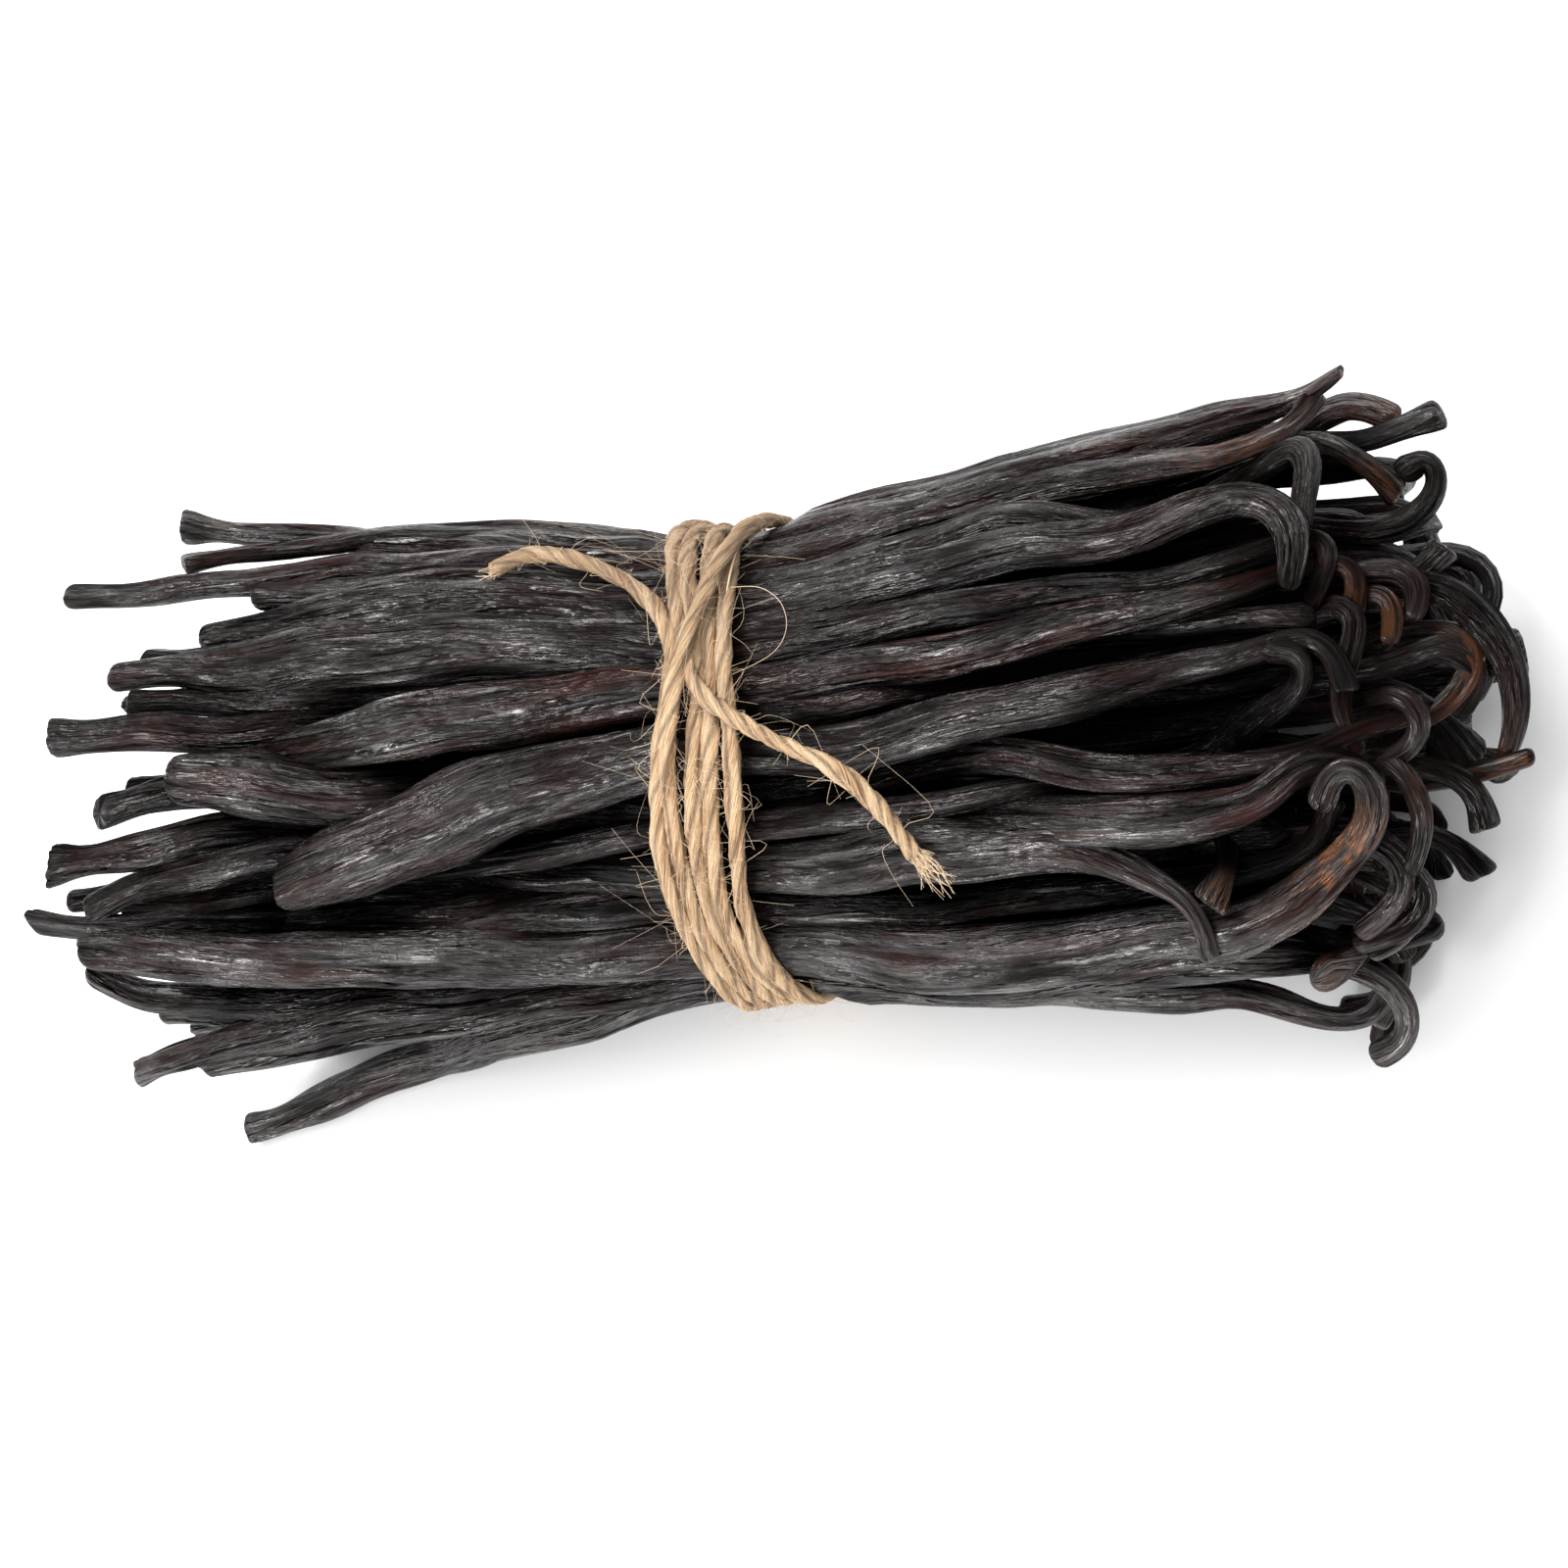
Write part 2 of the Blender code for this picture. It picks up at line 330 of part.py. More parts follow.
# the free ends as (x, across, over the surface)
LEFT_END = ((-7.0, 18.4, 1.7), (-10.5, 21.4, 2.4), (-14.5, 23.6, 3.2), (-18.5, 25.2, 4.0),
            (-22.5, 26.2, 3.8), (-25.4, 26.0, 3.0), (-27.2, 24.6, 2.2))
RIGHT_END = ((-2.4, 9.9, 2.6), (0.0, 7.2, 3.0), (3.4, 4.8, 2.6), (7.4, 2.2, 2.0), (11.4, 0.3, 1.7),
             (15.0, -1.9, 1.6), (18.0, -5.0, 1.5), (20.2, -8.4, 1.4), (21.8, -11.4, 1.3))

# How the solids are made.
POD_POINTS = 44
POD_FULLNESS = 0.94
THINNEST = 1.55
CURL_KEPT = 8.0
CORE_STATIONS = (-52, -48, -42, -30, -15, 0, 12, 24, 36, 46, 53, 58)
CORE_INSETS = (16, 11, 7, 5.6, 5.2, 5.0, 5.2, 5.6, 6.0, 7, 11, 16)
BAND_STATIONS = (-9.8, -4.0, 0.0, 5.4)
BAND_RISE = 6.0
BAND_INSIDE = (-20, 16)
BAND_DEPTH = 1.3
BAND_FLOOR = 3.1
WINDING_FULLNESS = 1.15
END_FULLNESS = (1.05, 1.35)
GAP = 0.35
POD_VOXEL = 1.15
FINAL_VOXEL = 1.0
WINDING_VOXEL = 0.5
GROOVE_VOXEL = 0.6
POD_TRIANGLES = 8200
WINDING_TRIANGLES = 1400
GROOVE_TRIANGLES = 1500
BASE_SNAP = 0.4
FLOOR_BLOCK = (400, 300, 100)


# ---- where the pods lie ----

def section_half(x):
    """Half the section's width at x."""
    return np.interp(x, SECTION_X, SECTION_HALF)


def surface_height(x, s):
    """The top of the section's ellipse at x, over the point s across."""
    half = section_half(x)
    return FLATNESS * half * np.sqrt(np.clip(1.0 - (s / half) ** 2, 0.0, 1.0))


def curl(rng):
    """An inner pod's stalk, a straight lead, an arc and a straight end, with its half width."""
    turn = math.radians(rng.uniform(*CURL_TURN))
    radius = rng.uniform(*CURL_RADIUS)
    lead = rng.uniform(*CURL_LEAD)
    out = math.radians(rng.choice(CURL_SIDES) + rng.uniform(-CURL_SPREAD, CURL_SPREAD))
    sweep = np.linspace(0, turn, CURL_KNOTS - 1)
    along = lead + radius * np.sin(sweep)
    side = radius * (1 - np.cos(sweep))
    along = np.append(along, along[-1] + CURL_END * math.cos(turn))
    side = np.append(side, side[-1] + CURL_END * math.sin(turn))
    neck = 1 + CURL_NECK * np.cos(np.linspace(0, math.tau, len(side)))
    half = rng.uniform(*CURL_HALF) * neck
    return np.stack((along, side * math.cos(out), side * math.sin(out), half), 1)


def first_places():
    """Every pod before it settles: s, t, half width and freedom at each station,
    then its first and last x, and its stalk's points with their half widths."""
    rng = np.random.default_rng(SEED)
    half = section_half(STATIONS)
    rows, spans, stalks = [], [], []
    for route, widths, stalk in LAID_PODS.values():
        x, across, depth = np.array(route, float).T
        s = np.interp(STATIONS, x, across)
        t = surface_height(STATIONS, s) - np.interp(STATIONS, x, depth)
        w = np.interp(STATIONS, *np.array(widths, float).T)
        loose = np.where(depth < SHALLOW, *LOOSENESS) * (abs(across) < SIDE_REACH)
        rows.append((s, t, w, np.interp(STATIONS, x, loose)))
        spans.append((x[0], x[-1]))
        stalks.append(np.array(stalk, float))
    for inset, count, start, stop in RINGS:
        step = (stop - start) / count
        for k in range(count):
            angle = math.radians(start + (k + 0.5 + rng.uniform(-RING_JITTER, RING_JITTER)) * step)
            inset_here = inset * half / min(SECTION_HALF)
            turn = angle + np.radians(rng.uniform(-RING_LEAN, RING_LEAN)) * STATIONS / LEAN_OVER
            s = (half - inset_here) * np.cos(turn)
            t = (FLATNESS * half - inset_here) * np.sin(turn)
            size = rng.uniform(*FILLER_HALF)
            left = rng.uniform(*(OUTER_LEFT if inset < OUTER_INSET else INNER_LEFT))
            right = rng.uniform(*FILLER_RIGHT) + INNER_LONGER * inset
            right -= FRONT_SHORTER * max(0.0, -math.cos(angle))
            w = size * np.interp(STATIONS, (left, left + TAPER_LENGTH, TAPER_START, right), FILLER_TAPER)
            rows.append((s, t, w, np.ones(len(STATIONS))))
            spans.append((left, right))
            stalks.append(curl(rng))
    s, t, w, freedom = np.array(rows).transpose(1, 0, 2)
    return s, t, w, freedom, np.array(spans), stalks


def settle(s, t, w, freedom, spans):
    """Pushes overlapping pods apart at each station, keeps the free ones inside the
    ellipse and over the floor, and draws the laid ones back to their routes."""
    home_s, home_t = s.copy(), t.copy()
    near = (spans[:, :1] - STATION_STEP, spans[:, 1:] + STATION_STEP)
    present = (STATIONS >= near[0]) & (STATIONS <= near[1])
    together = 0.5 * present[:, None] * present[None] * (1 - np.eye(len(s)))[:, :, None]
    half_s = section_half(STATIONS) - EDGE_SHARE * w
    half_t = FLATNESS * section_half(STATIONS) - EDGE_SHARE * w
    rest = REST_SHARE * w - FLOOR_PRESS + np.interp(STATIONS, WAIST_X, WAIST_ROOM)
    for _ in range(SETTLING_PASSES):
        ds = s[:, None] - s[None]
        dt = t[:, None] - t[None]
        gap = np.sqrt(ds * ds + dt * dt) + 1e-6
        push = np.clip(CLOSENESS * (w[:, None] + w[None]) - gap, 0, None) * together / gap
        s = s + np.clip((push * ds).sum(1), -LARGEST_MOVE, LARGEST_MOVE) * freedom
        t = t + np.clip((push * dt).sum(1), -LARGEST_MOVE, LARGEST_MOVE) * freedom
        reach = np.sqrt((s / half_s) ** 2 + (t / half_t) ** 2)
        inward = np.where(freedom > max(LOOSENESS), 0.5 + 0.5 / np.maximum(reach, 1), 1)
        s, t = s * inward, t * inward
        height = s * math.sin(LEAN) + t * math.cos(LEAN) + AXIS_HEIGHT
        lift = np.clip(rest - height, 0, None)
        s, t = s + lift * math.sin(LEAN), t + lift * math.cos(LEAN)
        back = PULL_HOME * (1 - freedom)
        s, t = s + (home_s - s) * back, t + (home_t - t) * back
        for line in (s, t):
            middle = 0.5 * (line[:, :-2] + line[:, 2:]) - line[:, 1:-1]
            line[:, 1:-1] += EASING * freedom[:, 1:-1] * middle
    return s, t


def place_pods():
    """Each pod's whole route with its half widths, body first and stalk last."""
    s, t, w, freedom, spans, stalks = first_places()
    s, t = settle(s, t, w, freedom, spans)
    routes = []
    for i, (left, right) in enumerate(spans):
        inside = STATIONS[(STATIONS > left + 1) & (STATIONS < right - 1)]
        x = np.concatenate(([left], inside, [right]))
        body = np.stack((x, np.interp(x, STATIONS, s[i]), np.interp(x, STATIONS, t[i])), 1)
        stalk = stalks[i]
        if i >= len(LAID_PODS):
            stalk[:, :3] += body[-1]
        halves = np.append(np.interp(x, STATIONS, w[i]), stalk[:, 3])
        routes.append((np.concatenate((body, stalk[:, :3])), halves))
    return routes


def distance_along(points):
    """The distance from the first point to each point."""
    return np.append(0.0, np.cumsum(np.linalg.norm(np.diff(points, axis=0), axis=1)))


def even_path(points, values, count, passes=SMOOTHING_PASSES):
    """The route re-sampled finely, smoothed, then read at steps shorter near its ends."""
    run = distance_along(points)
    fine = np.linspace(0, run[-1], int(run[-1] / FINE_STEP))
    table = np.stack([np.interp(fine, run, column) for column in (*points.T, values)], 1)
    for _ in range(passes):
        table[1:-1] += 0.5 * (0.5 * (table[:-2] + table[2:]) - table[1:-1])
    run = distance_along(table[:, :3])
    share = np.linspace(0, 1, count)
    even = run[-1] * (share - END_CROWDING * np.sin(math.tau * share))
    table = np.stack([np.interp(even, run, column) for column in table.T], 1)
    return table[:, :3], table[:, 3]


def to_world(points):
    """(x, s, t) in millimetres to metres over the floor."""
    x, s, t = points[..., 0], points[..., 1], points[..., 2]
    y = s * math.cos(LEAN) - t * math.sin(LEAN) + CENTRE[1]
    z = s * math.sin(LEAN) + t * math.cos(LEAN) + AXIS_HEIGHT
    return np.stack((x + CENTRE[0], y, z), -1) * MM


# ---- where the twine lies ----

def over_surface(angle, x, over):
    """A point over the section's ellipse at x, at an angle in degrees."""
    a = math.radians(angle)
    half = float(section_half(x))
    return (x, (half + over) * math.cos(a), (FLATNESS * half + over) * math.sin(a))


def winding_route():
    """World points of the twine's turns one after another, thirty to a turn."""
    angles, places, lifts = [], [], []
    for turn, row in enumerate(TURNS):
        for angle, place in zip(TURN_ANGLES, row):
            if place is not None:
                crosses = turn == CROSSING_TURN and (20 < angle < 84 or angle > 320)
                angles.append(360.0 * turn + angle)
                places.append(place)
                lifts.append(TWINE_DIAMETER * CROSSING_LIFT if crosses else 0.0)
    run = np.arange(angles[0], angles[-1] + 1, TURN_STEP)
    x = np.interp(run, angles, places)
    over = TWINE_OVER + np.interp(run, angles, lifts)
    route = to_world(np.array([over_surface(a, px, o) for a, px, o in zip(run, x, over)]))
    route[:, 2] = np.maximum(route[:, 2], TWINE_FLOOR * MM)
    return route


def end_route(points):
    """A free end's points in (x, s, t)."""
    return np.array([(x, s, float(surface_height(x, s)) + over) for x, s, over in points])


# ---- making solids ----

def collection(name):
    made = bpy.data.collections.new(name)
    bpy.context.scene.collection.children.link(made)
    return made


def material(name, colour, roughness):
    made = bpy.data.materials.new(name)
    made.use_nodes = True
    shader = made.node_tree.nodes["Principled BSDF"]
    shader.inputs["Base Color"].default_value = (*colour, 1.0)
    shader.inputs["Roughness"].default_value = roughness
    shader.inputs["Metallic"].default_value = 0.0
    return made


def tubes(name, routes, resolution, home):
    """Closed round tubes along routes of world points; radii in millimetres."""
    curve = bpy.data.curves.new(name, "CURVE")
    curve.dimensions = "3D"
    curve.bevel_depth = MM
    curve.bevel_resolution = resolution
    curve.use_fill_caps = True
    for points, radii in routes:
        spline = curve.splines.new("POLY")
        spline.points.add(len(points) - 1)
        for knot, place, radius in zip(spline.points, points, radii):
            knot.co = (*place, 1.0)
            knot.radius = radius
    made = bpy.data.objects.new(name, curve)
    home.objects.link(made)
    return made


def to_mesh(thing):
    """The object with its curve and modifiers turned into a plain mesh."""
    bpy.context.view_layer.update()
    graph = bpy.context.evaluated_depsgraph_get()
    mesh = bpy.data.meshes.new_from_object(thing.evaluated_get(graph))
    mesh.transform(thing.matrix_world)
    home = thing.users_collection[0]
    name = thing.name
    bpy.data.objects.remove(thing, do_unlink=True)
    made = bpy.data.objects.new(name, mesh)
    home.objects.link(made)
    return made


def add_modifier(thing, kind, **settings):
    made = thing.modifiers.new(kind.title(), kind)
    for key, value in settings.items():
        setattr(made, key, value)


def join(thing, other):
    """Puts the other object's mesh into this one and removes the other."""
    mesh = bmesh.new()
    mesh.from_mesh(thing.data)
    mesh.from_mesh(other.data)
    mesh.to_mesh(thing.data)
    mesh.free()
    bpy.data.objects.remove(other, do_unlink=True)


def keep_largest(thing):
    """Removes every loose island but the largest, which also fills the hollows."""
    mesh = bmesh.new()
    mesh.from_mesh(thing.data)
    left = set(mesh.verts)
    islands = []
    while left:
        island, front = set(), [left.pop()]
        while front:
            vert = front.pop()
            island.add(vert)
            near = {edge.other_vert(vert) for edge in vert.link_edges} & left
            left -= near
            front.extend(near)
        islands.append(island)
    islands.sort(key=len)
    for island in islands[:-1]:
        bmesh.ops.delete(mesh, geom=list(island), context="VERTS")
    mesh.to_mesh(thing.data)
    mesh.free()


def fuse(thing, voxel):
    """Joins overlapping tubes into one closed skin."""
    add_modifier(thing, "REMESH", mode="VOXEL", voxel_size=voxel * MM, adaptivity=0.0)
    thing = to_mesh(thing)
    keep_largest(thing)
    return thing


def thin_out(thing, triangles):
    """Lowers the skin to about so many triangles, closed and flat at its base."""
    add_modifier(thing, "TRIANGULATE")
    thing = to_mesh(thing)
    add_modifier(thing, "DECIMATE", ratio=min(1.0, triangles / len(thing.data.polygons)))
    thing = to_mesh(thing)
    mesh = bmesh.new()
    mesh.from_mesh(thing.data)
    open_edges = [edge for edge in mesh.edges if len(edge.link_faces) == 1]
    bmesh.ops.holes_fill(mesh, edges=open_edges, sides=4)
    for vert in mesh.verts:
        if vert.co.z < BASE_SNAP * MM:
            vert.co.z = 0.0
    mesh.to_mesh(thing.data)
    mesh.free()
    return thing


def cut(thing, cutter):
    """The object less the cutter, and only its largest piece."""
    add_modifier(thing, "BOOLEAN", operation="DIFFERENCE", solver="EXACT", object=cutter)
    made = to_mesh(thing)
    keep_largest(made)
    return made


def elliptic_tube(name, stations, insets, home):
    """A closed tube along x whose section is the bundle's ellipse less an inset."""
    radii = [float(section_half(x)) - inset for x, inset in zip(stations, insets)]
    line = [(x * MM, 0.0, 0.0) for x in stations]
    made = tubes(name, [(line, radii)], 10, home)
    lean = Matrix.Rotation(LEAN, 4, "X")
    flat = Matrix.Diagonal((1.0, 1.0, FLATNESS, 1.0))
    place = Matrix.Translation((CENTRE[0] * MM, CENTRE[1] * MM, AXIS_HEIGHT * MM))
    made.matrix_world = place @ lean @ flat
    return to_mesh(made)


def waist_band(home):
    """The ring of room under the twine: a wide band less the tube inside it."""
    band = elliptic_tube("waist_band", BAND_STATIONS, [-BAND_RISE] * len(BAND_STATIONS), home)
    inner = np.linspace(*BAND_INSIDE, 9)
    inside = elliptic_tube("waist_inside", inner, [BAND_DEPTH] * len(inner), home)
    for vert in inside.data.vertices:
        vert.co.z = max(vert.co.z, BAND_FLOOR * MM)
    return cut(band, inside)


def floor_block(home):
    """A block whose top is the floor."""
    mesh = bmesh.new()
    bmesh.ops.create_cube(mesh, size=1.0)
    data = bpy.data.meshes.new("floor_block")
    mesh.to_mesh(data)
    mesh.free()
    made = bpy.data.objects.new("floor_block", data)
    made.scale = [side * MM for side in FLOOR_BLOCK]
    made.location.z = -0.5 * FLOOR_BLOCK[2] * MM
    home.objects.link(made)
    return made


# ---- the pieces ----

def make_pods(parts, cutters):
    """All pods and the core they lie on as one solid, cut back under the twine
    and flat where it rests."""
    routes = []
    for index, (path, half) in enumerate(place_pods()):
        if index >= len(LAID_PODS):
            # an inner pod's stalk is kept short: only the outer ones show as curls
            body = len(path) - CURL_KNOTS - 1
            kept = body + int((distance_along(path[body:]) < CURL_KEPT).sum())
            path, half = path[:kept], half[:kept]
        centre, size = even_path(path, half, POD_POINTS)
        routes.append((to_world(centre), np.maximum(POD_FULLNESS * size, THINNEST)))
    pods = to_mesh(tubes("pods", routes, 1, parts))
    join(pods, elliptic_tube("core", CORE_STATIONS, CORE_INSETS, parts))
    pods = fuse(pods, POD_VOXEL)
    pods = cut(pods, waist_band(cutters))
    pods = cut(pods, floor_block(cutters))
    pods = fuse(pods, FINAL_VOXEL)
    return thin_out(pods, POD_TRIANGLES)


def make_twine(parts, cutters):
    """The winding as one ring, and the two free ends cut clear of it."""
    thick = 0.5 * TWINE_DIAMETER
    turns = winding_route()
    winding = tubes("twine_winding", [(turns, [WINDING_FULLNESS * thick] * len(turns))], 2, parts)
    winding = thin_out(fuse(winding, WINDING_VOXEL), WINDING_TRIANGLES)
    room = tubes("groove", [(turns, [WINDING_FULLNESS * thick + GAP] * len(turns))], 1, cutters)
    room = thin_out(fuse(room, GROOVE_VOXEL), GROOVE_TRIANGLES)
    pieces = [winding]
    for name, knots in (("twine_end_left", LEFT_END), ("twine_end_right", RIGHT_END)):
        route = to_world(end_route(knots))
        radii = np.linspace(*END_FULLNESS, len(route)) * thick
        pieces.append(cut(to_mesh(tubes(name, [(route, radii)], 2, parts)), room))
    return pieces


def build():
    for thing in list(bpy.data.objects):
        bpy.data.objects.remove(thing, do_unlink=True)
    parts = collection("vanilla_bundle")
    cutters = collection("cutters")
    cutters.hide_render = True
    pods = make_pods(parts, cutters)
    twine = make_twine(parts, cutters)
    pods.data.materials.append(material("pod_brown", (0.028, 0.021, 0.018), 0.5))
    jute = material("jute", (0.52, 0.36, 0.21), 0.9)
    for piece in twine:
        piece.data.materials.append(jute)
    for cutter in cutters.objects:
        cutter.hide_render = True
        cutter.display_type = "WIRE"


build()
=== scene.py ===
"""A bundle of cured vanilla pods tied round its waist with jute twine.

Every pod is a surface of its own, wrinkled along its length, with its own tip and
curled stalk.  The twine is one twisted tube from end to end with loose fibres on it.
"""
import math

import bpy
import numpy as np
from mathutils import Matrix, Vector


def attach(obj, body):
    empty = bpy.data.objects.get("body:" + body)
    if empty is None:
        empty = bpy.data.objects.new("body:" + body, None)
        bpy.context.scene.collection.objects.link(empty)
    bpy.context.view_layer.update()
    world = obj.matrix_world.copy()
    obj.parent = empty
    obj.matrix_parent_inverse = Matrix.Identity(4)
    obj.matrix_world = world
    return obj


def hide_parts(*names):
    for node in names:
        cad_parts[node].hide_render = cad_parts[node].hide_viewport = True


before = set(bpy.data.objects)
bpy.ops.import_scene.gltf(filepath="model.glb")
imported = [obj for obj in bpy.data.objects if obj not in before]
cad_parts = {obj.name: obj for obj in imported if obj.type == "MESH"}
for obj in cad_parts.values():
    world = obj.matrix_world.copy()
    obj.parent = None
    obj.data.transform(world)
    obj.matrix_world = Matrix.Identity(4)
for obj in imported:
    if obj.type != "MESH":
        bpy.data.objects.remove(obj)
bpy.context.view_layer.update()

# Lengths are in millimetres until a mesh is made; MM turns them to metres.
MM = 0.001

# The bundle's own frame: x along it, s across it, t up out of it.  Its section is
# an ellipse that leans by LEAN about the x axis, with its centre at AXIS_HEIGHT.
LEAN = math.radians(20.0)
AXIS_HEIGHT = 23.8
SECTION_X = (-95, -75, -63, -40, -20, 0, 24, 58, 70, 90)
SECTION_HALF = (29, 30, 31, 30, 27.5, 26, 30.5, 34, 33.5, 31)
FLATNESS = 0.86
CENTRE = (-1.38, 1.08)


def deep_pod(across, depth, *stalk):
    """A pod of which only the stalk shows: it runs well under the others and nearer the
    middle at first, then out to its place across and its depth."""
    route = ((-54, 0.8 * across, depth + 3), (0, 0.7 * across, depth + 3), (45, across, depth + 1),
             (62, across, depth))
    return route, ((-54, 1.5), (0, 2.2), (45, 1.8), (62, 1.5)), stalk


def tip_pod(*route):
    """A thin pod of which only the blossom end shows, with a short hidden stalk."""
    across = route[-1][1]
    widths = ((route[0][0], 1.2), (route[1][0], 1.7), (-50, 2), (0, 2), (50, 1.5))
    return route, widths, ((56, across, 12, 1.3), (60, across - 1, 11, 1.2))


